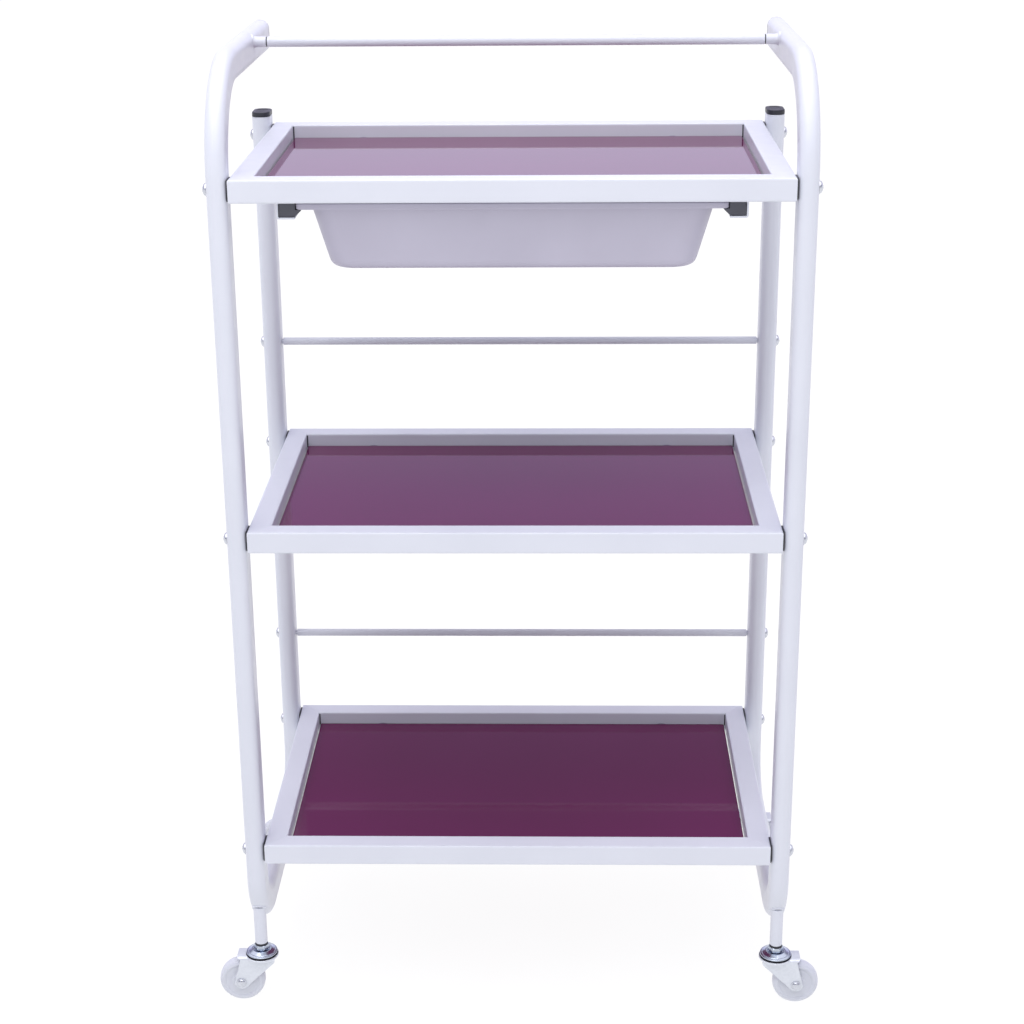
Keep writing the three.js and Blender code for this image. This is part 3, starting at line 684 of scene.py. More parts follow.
def dress(skin: Skin, finish: Finish, body: str, *nodes: str) -> bpy.types.Object:
    """Finishes a piece and hangs it on its body.

    Args:
        skin: The piece's surfaces.
        finish: Its finish.
        body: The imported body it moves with.
        nodes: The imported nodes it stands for.

    Returns:
        The finished piece.
    """
    piece = skin.piece()
    piece.data.materials.append(finish.material())
    if nodes:
        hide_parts(*nodes)
    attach(piece, body)
    log.info("%s: %d faces on %s", piece.name, len(piece.data.polygons), body)
    return piece


# ---------------------------------------------------------------- side frames


@dataclass
class SideFrame:
    """One side of the trolley: handle arm, front leg, skid and rear leg in one bent tube, with two sockets.

    Args:
        side: Left or right.
    """

    side: Side
    depth: float = 30.0
    corner: float = 7.8
    wall: float = 1.5
    top_bend: float = 85.0
    low_bend: float = 50.0
    bend_steps: int = 28
    end_edge: float = 0.5
    socket_diameter: float = 12.0
    socket_bore: float = 8.6
    socket_top_over_skid: float = 14.0
    skid_clearance: float = 73.0
    weld_thickness: float = 2.2
    weld_ripples: int = 14
    weld_points: int = 84
    socket_edge: float = 0.6
    plug_corner: float = 1.1
    plug_spigot: float = 10.0
    plug_play: float = 0.3
    plug_rim: float = 3.4
    plug_dish: float = 0.5
    rear_plug_head: float = 4.2
    rear_plug_reach: float = 4.5
    handle_plug_head: float = 3.0
    stub_gap: float = 0.9
    stub_root: float = 4.5
    stub_flare: float = 1.9
    ring_play: float = 0.08
    ring_depth: float = 0.35
    spigot_diameter: float = 5.0
    spigot_length: float = 11.0
    box: Extent = field(init=False)
    post: Extent = field(init=False)

    def __post_init__(self) -> None:
        """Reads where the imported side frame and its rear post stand."""
        self.box = Extent.of(f"side_frame_{self.side.word}")
        self.post = Extent.of(f"rear_post_plug_{self.side.word}")

    @property
    def width(self) -> float:
        """The tube's narrow side."""
        return self.post.size[0]

    @property
    def centre_x(self) -> float:
        """The middle of the tube's width."""
        return self.post.middle[0]

    @property
    def inner_face(self) -> float:
        """Distance of the tube's inner face from the trolley's middle."""
        return abs(self.centre_x) - self.width / 2

    @property
    def outer_face(self) -> float:
        """Distance of the tube's outer face from the trolley's middle."""
        return abs(self.centre_x) + self.width / 2

    @property
    def leg_y(self) -> float:
        """Distance of the legs' centre lines from the trolley's middle."""
        return -self.box.low[1] - self.depth / 2

    @property
    def skid_z(self) -> float:
        """Height of the skid's centre line."""
        return self.skid_clearance + self.depth / 2

    def path(self) -> tuple[Array, Array]:
        """The centre line from the handle arm's end to the rear leg's top.

        Straight runs join quarter circles: the point at heading a of a bend is its centre plus
        radius (sin a, -cos a) in the YZ plane.

        Returns:
            Stations of shape (n, 3) and the heading angle at each.
        """
        quarter = math.pi / 2
        top_z = self.box.high[2] - self.depth / 2
        rear_top = self.post.high[2] - self.rear_plug_reach
        arm_end = self.box.high[1]
        sweep = np.linspace(0.0, quarter, self.bend_steps + 1)
        bends = [
            (-self.leg_y + self.top_bend, top_z - self.top_bend, self.top_bend, 2 * quarter),
            (-self.leg_y + self.low_bend, self.skid_z + self.low_bend, self.low_bend, 3 * quarter),
            (self.leg_y - self.low_bend, self.skid_z + self.low_bend, self.low_bend, 4 * quarter),
        ]
        parts = [np.array([[arm_end, top_z, 2 * quarter]])]
        for centre_y, centre_z, radius, start in bends:
            heading = start + sweep
            parts.append(np.column_stack([
                centre_y + radius * np.sin(heading), centre_z - radius * np.cos(heading), heading,
            ]))
        parts.append(np.array([[self.leg_y, rear_top, 5 * quarter]]))
        line = self._with_end_stations(np.vstack(parts))
        return np.column_stack([np.full(len(line), self.centre_x), line[:, :2]]), line[:, 2]

    def _with_end_stations(self, line: Array) -> Array:
        """Adds the stations of the rounded end edges just inside both ends."""
        edge = self.end_edge
        inside = np.array([0.0, EDGE_SHARE * edge, edge, edge + FLAT])[:, None]
        head = line[0] + (line[1] - line[0]) / np.linalg.norm((line[1] - line[0])[:2]) * inside
        tail = line[-1] + (line[-2] - line[-1]) / np.linalg.norm((line[-2] - line[-1])[:2]) * inside[::-1]
        return np.vstack([head, line[1:-1], tail])

    def tube(self) -> Array:
        """The tube's skin: the outer face out along the path and the bore back, closed at both ends."""
        stations, heading = self.path()
        across = np.tile([1.0, 0.0, 0.0], (len(stations), 1))
        up = np.stack([np.zeros(len(stations)), -np.sin(heading), np.cos(heading)], axis=1)
        edge = np.array([1.0, EDGE_SHARE, 0.0, 0.0]) * self.end_edge
        inset = np.concatenate([edge, np.zeros(len(stations) - 8), edge[::-1]])
        outer = self.section(inset)
        inner = self.section(np.full(len(stations), self.wall))
        return np.vstack([
            carried(stations, across, up, outer),
            carried(stations[::-1], across, up[::-1], inner),
        ])

    def section(self, inset: Array) -> Array:
        """The flat-oval section, one loop for each inset."""
        return rounded_loops(self.width / 2 - inset, self.depth / 2 - inset, self.corner - inset, 8)

    def under_tube(self, x: Array, y: Array) -> Array:
        """Height of the low bend's outer face over a point.

        The face is a circle about the bend's centre, and its radius shrinks towards the tube's rounded sides.

        Args:
            x: Distances from the tube's middle.
            y: Places along Y.

        Returns:
            Heights.
        """
        beyond = np.maximum(np.abs(x) - (self.width / 2 - self.corner), 0.0)
        radius = self.low_bend + self.depth / 2 - self.corner + np.sqrt(self.corner**2 - beyond**2)
        from_centre = np.maximum(np.abs(y) - (self.leg_y - self.low_bend), 0.0)
        return self.skid_z + self.low_bend - np.sqrt(radius**2 - from_centre**2)

    def socket(self, end: End) -> tuple[Array, Array]:
        """A caster socket under the bend, and the weld where it meets the tube.

        Args:
            end: Front or rear.

        Returns:
            The socket's grid and the weld's grid.
        """
        bottom = self.box.low[2]
        top = self.skid_z + self.socket_top_over_skid
        outer, inner = self.socket_diameter / 2, self.socket_bore / 2
        profile = np.array([[inner, bottom], [outer, bottom], [outer, top], [inner, top]])
        place = np.array([self.centre_x, end.value * self.leg_y, 0.0])
        turn = np.arange(self.weld_points) * 2 * math.pi / self.weld_points
        x, y = outer * np.cos(turn), outer * np.sin(turn)
        height = self.under_tube(x, y + place[1])
        weld = bead(np.column_stack([x, y, height]) + place, self.weld_thickness, self.weld_ripples)
        return turned(profile, self.socket_edge, closed=True) + place, weld

    def stub(self) -> Array:
        """The stub welded to the handle arm, with its spigot for the rod, turned about the rod's axis.

        Its root flares out to the arm in a quarter oval. At angle a the radius is the rod's plus flare
        (1 - sin a), and the place along the axis is the arm's face less 2 flare (1 - cos a).
        """
        rod = Extent.of("handle_rod")
        radius, spigot = rod.size[2] / 2, self.spigot_diameter / 2
        end = rod.high[0] + self.stub_gap
        tip, root = end - self.spigot_length, self.inner_face + self.stub_root
        sweep = np.linspace(0.0, math.pi / 2, 7)[:-1]
        wide, long = self.stub_flare, 2 * self.stub_flare
        flare = np.column_stack([
            radius + wide * (1 - np.sin(sweep)), self.inner_face - long * (1 - np.cos(sweep)),
        ])
        bar = soften(np.array([
            [radius, self.inner_face - long], [radius, end], [spigot, end], [spigot, tip], [0.0, tip],
        ]), np.array([0.35, 0.1, 0.5]), closed=False, steps=3)
        line = np.vstack([[[0.0, root], [radius + wide, root]], flare, bar])
        return laid(turned(line), Axis.X, rod.middle, self.side.value)

    def ring(self) -> Skin:
        """The dark ring in the gap between the stub and the handle rod."""
        rod = Extent.of("handle_rod")
        start = rod.high[0] + self.ring_play
        end = rod.high[0] + self.stub_gap - self.ring_play
        inner, outer = self.spigot_diameter / 2 + 0.1, rod.size[2] / 2 - self.ring_depth
        profile = np.array([[inner, start], [outer, start], [outer, end], [inner, end]])
        ring = turned(profile, 0.15, closed=True, parts=2)
        grid = laid(ring, Axis.X, rod.middle, self.side.value)
        return Skin(f"handle_ring_{self.side.word}").add(grid, ring_rows=True)

    def plug(self, node: str, axis: Axis, reach: float) -> None:
        """A tube plug: a softened head with a shallow dish, and a spigot in the tube.

        Args:
            node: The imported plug.
            axis: The axis it points along.
            reach: Height of the head.
        """
        box = Extent.of(node)
        top = float(box.high[1 if axis is Axis.Y else 2])
        fit, rim, dish = self.wall + self.plug_play, self.plug_rim, -self.plug_dish
        foot = -reach - self.plug_spigot
        inset = np.array([fit + 2.0, fit, fit, 0.0, 0.0, rim, rim + 0.8, rim + 3.1])
        height = np.array([foot, foot, -reach, -reach, 0.0, 0.0, dish, dish])
        section = np.column_stack([
            self.width / 2 - inset, self.depth / 2 - inset, height, self.corner - inset,
        ])
        cuts = np.array([0.5, 0.2, 0.25, self.plug_corner, 0.4, 0.4])
        grid = stacked(soften(section, cuts, closed=False, steps=4), 8)
        grid[..., 2] = np.minimum(grid[..., 2], 0.0)
        if axis is Axis.Y:
            grid = grid[..., [0, 2, 1]]
            place = np.array([self.centre_x, top, box.middle[2]])
        else:
            place = np.array([self.centre_x, box.middle[1], top])
        finish = WHITE_PLASTIC if axis is Axis.Y else BLACK_PLASTIC
        dress(Skin(node.replace("plug", "cap")).add(grid + place), finish, FRAME_BODY, node)

    def build(self) -> None:
        """Makes the tube with its sockets, welds and stub, the handle rod's ring, and the two plugs."""
        skin = Skin(f"side_tube_{self.side.word}").add(self.tube(), ring_rows=True)
        for end in End:
            socket, weld = self.socket(end)
            skin.add(socket, ring_rows=True).add(weld, ring_rows=True)
        skin.add(self.stub())
        dress(skin, WHITE_COAT, FRAME_BODY, f"side_frame_{self.side.word}")
        dress(self.ring(), BLACK_PLASTIC, FRAME_BODY)
        self.plug(f"rear_post_plug_{self.side.word}", Axis.Z, self.rear_plug_head)
        self.plug(f"handle_plug_{self.side.word}", Axis.Y, self.handle_plug_head)


# ---------------------------------------------------------------- shelves


@dataclass
class Shelf:
    """A shelf: four mitred and welded square rails, four tabs with rubber pads, and a tinted pane.

    Black plates between the rails' ends and the legs, and black fills in the inner corners, are painted shade.

    Args:
        level: Which shelf.
    """

    level: Level
    rail: float = 20.0
    rail_corner: float = 1.7
    seam_width: float = 0.45
    seam_depth: float = 0.22
    crease_width: float = 1.3
    crease_depth: float = 2.4
    # the black fill in each inner corner, whose dark colour is painted shade for the crease
    bead_size: float = 1.5
    bead_sink: float = 0.3
    bead_hollow: float = 0.35
    bead_cut: float = 0.4
    bead_edge: float = 0.04
    bead_depth: float = 2.0
    tab_radius: float = 12.0
    tab_reach: float = 22.0
    tab_thickness: float = 1.5
    tab_spacing: float = 300.0
    tab_sink: float = 0.8
    tab_edge: float = 0.3
    pad_radius: float = 9.8
    pad_thickness: float = 1.5
    pad_edge: float = 0.4
    bumper_rise: float = 6.7
    bumper_half: float = 10.5
    bumper_pane_gap: float = 0.25
    bumper_rail_gap: float = 0.15
    # the black plate in each rail-to-leg gap, whose dark colour is painted shade
    spacer_inset: float = 0.8
    spacer_depth: float = 3.4
    spacer_corner: float = 2.0
    spacer_hole: float = 3.2
    pane_edge: float = 0.8
    pane_ring: float = 8.0
    pane_corner: float = 1.5
    box: Extent = field(init=False)
    pane_box: Extent = field(init=False)

    def __post_init__(self) -> None:
        """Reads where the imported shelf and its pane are."""
        self.box = Extent.of(f"{self.level.value}_shelf_frame")
        self.pane_box = Extent.of(f"{self.level.value}_shelf_glass")

    @property
    def top(self) -> float:
        """Height of the rails' top face."""
        return self.box.high[2]

    def rails(self) -> Array:
        """The ring of rails: one softened square carried round a rectangle, with a fine groove at each mitre.

        A point of the section at distance o out and height z meets the corner (sx, sy) at
        (sx (half width + o), sy (half depth + o), z). The stations on either side of the mitre are the same
        points moved along the rails, and the mitre's own section is a little smaller, which makes the groove.
        On the rails' inner faces the groove widens and deepens to a crease.
        """
        r = self.rail
        square = soften(np.array([[-r, -r], [0.0, -r], [0.0, 0.0], [-r, 0.0]]), self.rail_corner, steps=5)
        half = self.box.size[:2] / 2
        signs = np.array([[-1.0, -1.0], [1.0, -1.0], [1.0, 1.0], [-1.0, 1.0]])
        leave = np.array([[1.0, 0.0], [0.0, 1.0], [-1.0, 0.0], [0.0, -1.0]])
        arrive = np.roll(leave, 1, axis=0)
        inner = np.clip((-square[:, 0] - r + 0.2) / 0.1, 0.0, 1.0)
        grooved = shrunk(square, self.seam_depth)
        grooved[:, 0] += inner * (self.crease_depth - self.seam_depth)
        section = np.stack([square, square, grooved, square, square])
        near = (self.seam_width + inner * (self.crease_width - self.seam_width)) / 2
        far = near + FLAT
        shift = np.stack([far, near, 0 * near, near, far])[None, :, :, None]
        before = (np.arange(len(section)) < 2)[None, :, None, None]
        direction = np.where(before, -arrive[:, None, None, :], leave[:, None, None, :])
        flat = signs[:, None, None, :] * (half + section[None, :, :, :1]) + direction * shift
        height = np.broadcast_to(section[None, :, :, 1:] + self.top, flat.shape[:3] + (1,))
        return np.concatenate([flat, height], axis=-1).reshape(-1, square.shape[0], 3) + self.box.foot

    @property
    def tab_y(self) -> float:
        """Distance of a tab's round end centre from the shelf's middle."""
        return float(self.box.size[1] / 2) - self.rail - self.tab_reach + self.tab_radius

    def tab(self, x: float, end: End) -> Array:
        """A half-round tab, level with the rails' underside."""
        turn = np.linspace(0.0, math.pi, 25)
        arc = np.column_stack([self.tab_radius * np.cos(turn), -self.tab_radius * np.sin(turn)])
        root = self.tab_reach - self.tab_radius + self.tab_sink
        outline = np.vstack([[[self.tab_radius, root]], arc, [[-self.tab_radius, root]]])
        bottom = self.top - self.rail
        grid = prism(outline[::-1], bottom, bottom + self.tab_thickness, self.tab_edge)
        return grid * np.array([1.0, end.value, 1.0]) + np.array([x, end.value * self.tab_y, 0.0])

    def pad(self, x: float, end: End) -> Array:
        """The round rubber pad on a tab, under the pane."""
        bottom = self.top - self.rail + self.tab_thickness
        radius, height = self.pad_radius, self.pad_thickness
        profile = np.array([[0.0, 0.0], [radius, 0.0], [radius, height], [0.0, height]])
        return turned(profile, self.pad_edge) + np.array([x, end.value * self.tab_y, bottom])

    def bumper(self, x: float, end: End) -> Array:
        """The pad's rounded lip in the gap between the pane and the rail.

        Each ring is a half oval, (half width w cos t, rise w sin t). Its share w at part p of the gap, from
        -1 to 1, is the root of 1 - p to the fourth power, so that the lip closes in a soft edge at the pane
        and at the rail.
        """
        near = self.pane_box.size[1] / 2 + self.bumper_pane_gap
        far = self.box.size[1] / 2 - self.rail - self.bumper_rail_gap
        part = np.linspace(-1.0, 1.0, 11)
        share = np.sqrt(np.maximum(1 - part**4, 0.02))
        turn = np.linspace(0.0, math.pi, 21)
        base = self.top - self.rail + self.tab_thickness
        along = (near + far) / 2 + part * (far - near) / 2
        width = share[:, None] * self.bumper_half * np.cos(turn)
        rise = share[:, None] * self.bumper_rise * np.sin(turn)
        depth = np.broadcast_to(along[:, None], width.shape)
        return np.stack([x + width, end.value * depth, base + rise], axis=-1)

    def spacer(self, end: End, side: Side) -> Array:
        """The black plate between a rail's end and a leg, with a hole for the bolt: painted shade for that deep
        gap.

        It is a rounded rectangle with a round hole, carried from the rail to the leg.
        """
        rail_face = self.box.high[0]
        leg_face = SideFrame(side).inner_face
        bolt = Extent.of(f"{self.level.value}_shelf_bolt_{end.word}_{side.word}").middle
        front = self.box.high[1] - self.spacer_depth
        half_y, half_z = front - abs(bolt[1]), self.rail / 2 - self.spacer_inset
        hole, corner = self.spacer_hole, self.spacer_corner
        start, stop = rail_face + 0.05, leg_face - 0.15
        sizes = np.array([[half_y, half_z, corner]] * 2 + [[hole, hole, hole]] * 2)
        loops = rounded_loops(sizes[:, 0], sizes[:, 1], sizes[:, 2], 6, 0.0)
        grid = raised(loops, np.array([start, stop, stop, start]))[..., [2, 0, 1]]
        return grid * np.array([side.value, 1.0, 1.0]) + np.array([0.0, bolt[1], bolt[2]])

    def seam(self, end: End, side: Side) -> Array:
        """The black fill down an inner corner, where two mitred rail ends meet: painted shade for the crease
        there.

        Its outline is a hollow triangle whose short sides lie just inside the rails.
        """
        size, sink = self.bead_size, self.bead_sink
        hollow = -self.bead_hollow * size
        corners = np.array([[-size, sink], [hollow, hollow], [sink, -size], [sink, sink]])
        outline = soften(corners, self.bead_cut, steps=2)
        start = self.pane_box.high[2] - self.bead_depth
        grid = prism(outline, start, self.top - self.rail_corner, self.bead_edge)
        corner = self.box.size[:2] / 2 - self.rail
        return (grid + np.array([*corner, 0.0])) * np.array([side.value, end.value, 1.0])

    def pane(self) -> Array:
        """The pane: rounded rectangles stacked from its underside to its top, with polished edges."""
        half = self.pane_box.size / 2
        low, high = self.pane_box.low[2], self.pane_box.high[2]
        inset = np.array([self.pane_ring, 0.0, 0.0, self.pane_ring])
        height = np.array([low, low, high, high])
        corner = np.full(4, self.pane_corner)
        section = np.column_stack([half[0] - inset, half[1] - inset, height, corner])
        line = soften(section, self.pane_edge, closed=False, steps=4)
        return stacked(line, 6) + self.pane_box.foot

    def build(self) -> None:
        """Makes the rails with their tabs, the pane, the pads, and the black gap plates and corner fills of
        painted shade.
        """
        name = self.level.value
        skin = Skin(f"{name}_shelf_rails").add(self.rails(), ring_rows=True)
        corners = [(x, end) for end in End for x in (-self.tab_spacing / 2, self.tab_spacing / 2)]
        for x, end in corners:
            skin.add(self.tab(x, end))
        dress(skin, WHITE_COAT, FRAME_BODY, f"{name}_shelf_frame")
        dress(Skin(f"{name}_shelf_pane").add(self.pane()), PLUM_GLASS, FRAME_BODY, f"{name}_shelf_glass")
        for x, end in corners:
            side = Side.LEFT if x < 0 else Side.RIGHT
            pad = Skin(f"{name}_shelf_pad_{end.word}_{side.word}")
            dress(pad.add(self.pad(x, end)).add(self.bumper(x, end)), PAD_RUBBER, FRAME_BODY)
        # black fills down the inner corners: painted shade for the creases
        crease_shade_fills = Skin(f"{name}_shelf_corner_beads")
        for end in End:
            for side in Side:
                crease_shade_fills.add(self.seam(end, side))
                # black plate in the gap to the leg: painted shade for the deep gap
                spacer = Skin(f"{name}_shelf_spacer_{end.word}_{side.word}")
                dress(spacer.add(self.spacer(end, side), ring_rows=True), BLACK_PLASTIC, FRAME_BODY)
        dress(crease_shade_fills, BLACK_PLASTIC, FRAME_BODY)


# ---------------------------------------------------------------- bolts and rods


@dataclass
class SideBolt:
    """A dome-head bolt with a washer, through a side frame.

    Args:
        node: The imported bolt.
        shank: Diameter of its shank.
    """

    node: str
    shank: float
    washer_radius: float = 6.3
    washer_height: float = 0.9
    washer_seat: float = 0.05
    head_radius: float = 5.3
    head_rim: float = 0.5
    socket_flats: float = 3.4
    socket_depth: float = 1.5
    steps: int = 48

    def grid(self, length: float, height: float) -> Array:
        """The bolt along Z, its seat at 0: shank, washer, quarter-oval dome and six-sided socket.

        Args:
            length: Depth of the shank's end under the seat.
            height: Height of the dome over the seat.

        Returns:
            A grid of rings.
        """
        bar, washer, seat = self.shank / 2, self.washer_radius, self.washer_seat
        shank = soften(np.array([
            [0.0, -length], [bar, -length], [bar, seat], [washer, seat],
            [washer, self.washer_height], [self.head_radius, self.washer_height],
        ]), np.array([0.6, 0.05, 0.2, 0.3]), closed=False, steps=3)
        rim = self.washer_height + self.head_rim
        turn = np.linspace(0.0, 1.0, 9)[1:-1] * math.pi / 2 * 0.88
        rise = (height - rim) / math.sin(math.pi / 2 * 0.9)
        dome = np.column_stack([self.head_radius * np.cos(turn), rim + rise * np.sin(turn)])
        rings = np.vstack([shank, [[self.head_radius, rim]], dome])
        radii = np.broadcast_to(rings[:, :1], (len(rings), self.steps))
        socket = np.array([[1.12], [1.0], [0.98], [0.4]]) * hexagon(self.socket_flats, self.steps)
        lip, floor = min(float(dome[-1, 1]) + 0.12, height), height - self.socket_depth
        heights = np.concatenate([rings[:, 1], [lip, height - 0.15, floor, floor - 0.3]])
        return revolved(np.vstack([radii, socket]), heights, self.steps)

    def build(self) -> None:
        """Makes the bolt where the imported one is."""
        box = Extent.of(self.node)
        sign = 1.0 if box.middle[0] > 0 else -1.0
        seat = sign * SideFrame(Side.RIGHT if sign > 0 else Side.LEFT).outer_face
        tip = float(box.high[0] if sign > 0 else box.low[0])
        end = float(box.low[0] if sign > 0 else box.high[0])
        place = np.array([seat, box.middle[1], box.middle[2]])
        grid = laid(self.grid(abs(end - seat), abs(tip - seat)), Axis.X, place, sign)
        dress(Skin(self.node.replace("bolt", "screw")).add(grid), ZINC, FRAME_BODY, self.node)


@dataclass
class CrossRod:
    """A round rod between the side frames, bored at both ends for its bolts or for the arms' spigots.

    Args:
        node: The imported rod.
    """

    node: str
    bore: float = 5.8
    bore_depth: float = 12.0
    edge: float = 0.8

    def build(self) -> None:
        """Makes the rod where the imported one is: a turned profile with softened end edges, laid along X."""
        box = Extent.of(self.node)
        half, r = box.size[0] / 2, box.size[2] / 2
        bore, floor = self.bore / 2, half - self.bore_depth
        profile = np.array([
            [0.0, -floor], [bore, -floor], [bore, -half], [r, -half],
            [r, half], [bore, half], [bore, floor], [0.0, floor],
        ])
        cuts = np.array([0.2, 0.2, self.edge, self.edge, 0.2, 0.2])
        grid = laid(turned(profile, cuts), Axis.X, box.middle)
        dress(Skin(f"{self.node}_bar").add(grid), WHITE_COAT, FRAME_BODY, self.node)


# ---------------------------------------------------------------- sliding tray


@dataclass
class Runner:
    """A channel under the top shelf that carries one slide bar.

    Args:
        side: Left or right.
    """

    side: Side
    wall: float = 1.5
    outer_bend: float = 2.2
    inner_bend: float = 0.9

    def build(self) -> None:
        """Makes the channel: a C outline with softened bends, carried along Y."""
        node = f"runner_{self.side.word}"
        box = Extent.of(node)
        width, height = box.size[0], box.size[2]
        w = self.wall
        corners = np.array([
            [0.0, 0.0], [0.0, -height], [width, -height], [width, -height + w],
            [w, -height + w], [w, -w], [width, -w], [width, 0.0],
        ])
        cuts = np.array([self.outer_bend] * 2 + [0.5] * 2 + [self.inner_bend] * 2 + [0.5] * 2)
        outline = soften(corners, cuts, steps=4, flat=0.15)
        grid = prism(outline, box.low[1], box.high[1], 0.25)[..., [0, 2, 1]]
        outer_x = float(box.low[0] if self.side is Side.LEFT else box.high[0])
        grid = grid * np.array([-self.side.value, 1.0, 1.0]) + np.array([outer_x, 0.0, box.high[2]])
        dress(Skin(f"runner_channel_{self.side.word}").add(grid), WHITE_COAT, FRAME_BODY, node)


@dataclass
class SlideBar:
    """The black bar on a side rim of the tray, which slides in the channel.

    Args:
        side: Left or right.
    """

    side: Side
    rim_height: float = 5.0
    slope: float = 6.0
    play: float = 0.3

    def build(self) -> None:
        """Makes the bar: a block in the channel and a sloping ledge under the tray's rim, carried along Y."""
        node = f"slide_bar_{self.side.word}"
        box = Extent.of(node)
        tray = Extent.of("tray")
        outer = float(box.high[0] if self.side is Side.RIGHT else -box.low[0])
        inner = float(box.low[0] if self.side is Side.RIGHT else -box.high[0])
        rim = tray.high[0] + self.play
        top, bottom = box.high[2], box.low[2]
        ledge = top - self.rim_height - self.play
        corners = np.array([
            [outer, top], [outer, bottom], [inner + self.slope, bottom],
            [inner, ledge], [rim, ledge], [rim, top],
        ])
        outline = soften(corners, np.array([0.8, 0.8, 0.8, 1.2, 0.2, 0.3]), steps=3, flat=0.15)
        grid = prism(outline, box.low[1], box.high[1], 0.14)[..., [0, 2, 1]]
        grid = grid * np.array([self.side.value, 1.0, 1.0])
        dress(Skin(f"slide_block_{self.side.word}").add(grid), SLATE_PLASTIC, TRAY_BODY, node)


@dataclass
class Tray:
    """The moulded tray: a tub with sloping walls and a flat rim all round."""

    top_half: float = 173.5
    floor_half: float = 157.0
    wall: float = 2.2
    taper: float = 12.0
    rim_reach: float = 4.0
    rim_height: float = 5.0
    top_corner: float = 22.0
    floor_corner: float = 17.0
    rim_corner: float = 5.0
    floor_bend: float = 8.5
    shade_ring: float = 30.0
    fillet_inset: float = 0.5

    def build(self) -> None:
        """Makes the tub of rounded rectangles: out over the floor, up the walls, round the rim and back."""
        box = Extent.of("tray")
        half_y = box.size[1] / 2
        rim_x, top, floor = box.size[0] / 2, box.high[2], box.low[2]
        tub_y, w = half_y - self.rim_reach, self.wall
        floor_y = tub_y - self.taper
        under = top - self.rim_height
        core_x, core_y = self.floor_half - self.shade_ring, floor_y - self.shade_ring
        fillet = self.fillet_inset
        section = np.array([
            [core_x, core_y, floor, self.floor_corner],
            [self.floor_half, floor_y, floor, self.floor_corner],
            [self.top_half - 1.1, tub_y - 0.9, under, self.top_corner],
            [rim_x, half_y, under, self.rim_corner],
            [rim_x, half_y, top, self.rim_corner],
            [self.top_half - w, tub_y - w, top, self.top_corner - w],
            [self.floor_half - w + fillet, floor_y - w + fillet, floor + w, self.floor_corner - w],
            [core_x, core_y, floor + w, self.floor_corner - w],
        ])
        cuts = np.array([self.floor_bend, 2.0, 1.4, 1.6, 2.2, self.floor_bend - w])
        grid = stacked(soften(section, cuts, closed=False, steps=7), 12)
        dress(Skin("tray_tub").add(grid + box.foot), TRAY_PLASTIC, TRAY_BODY, "tray")


# ---------------------------------------------------------------- casters


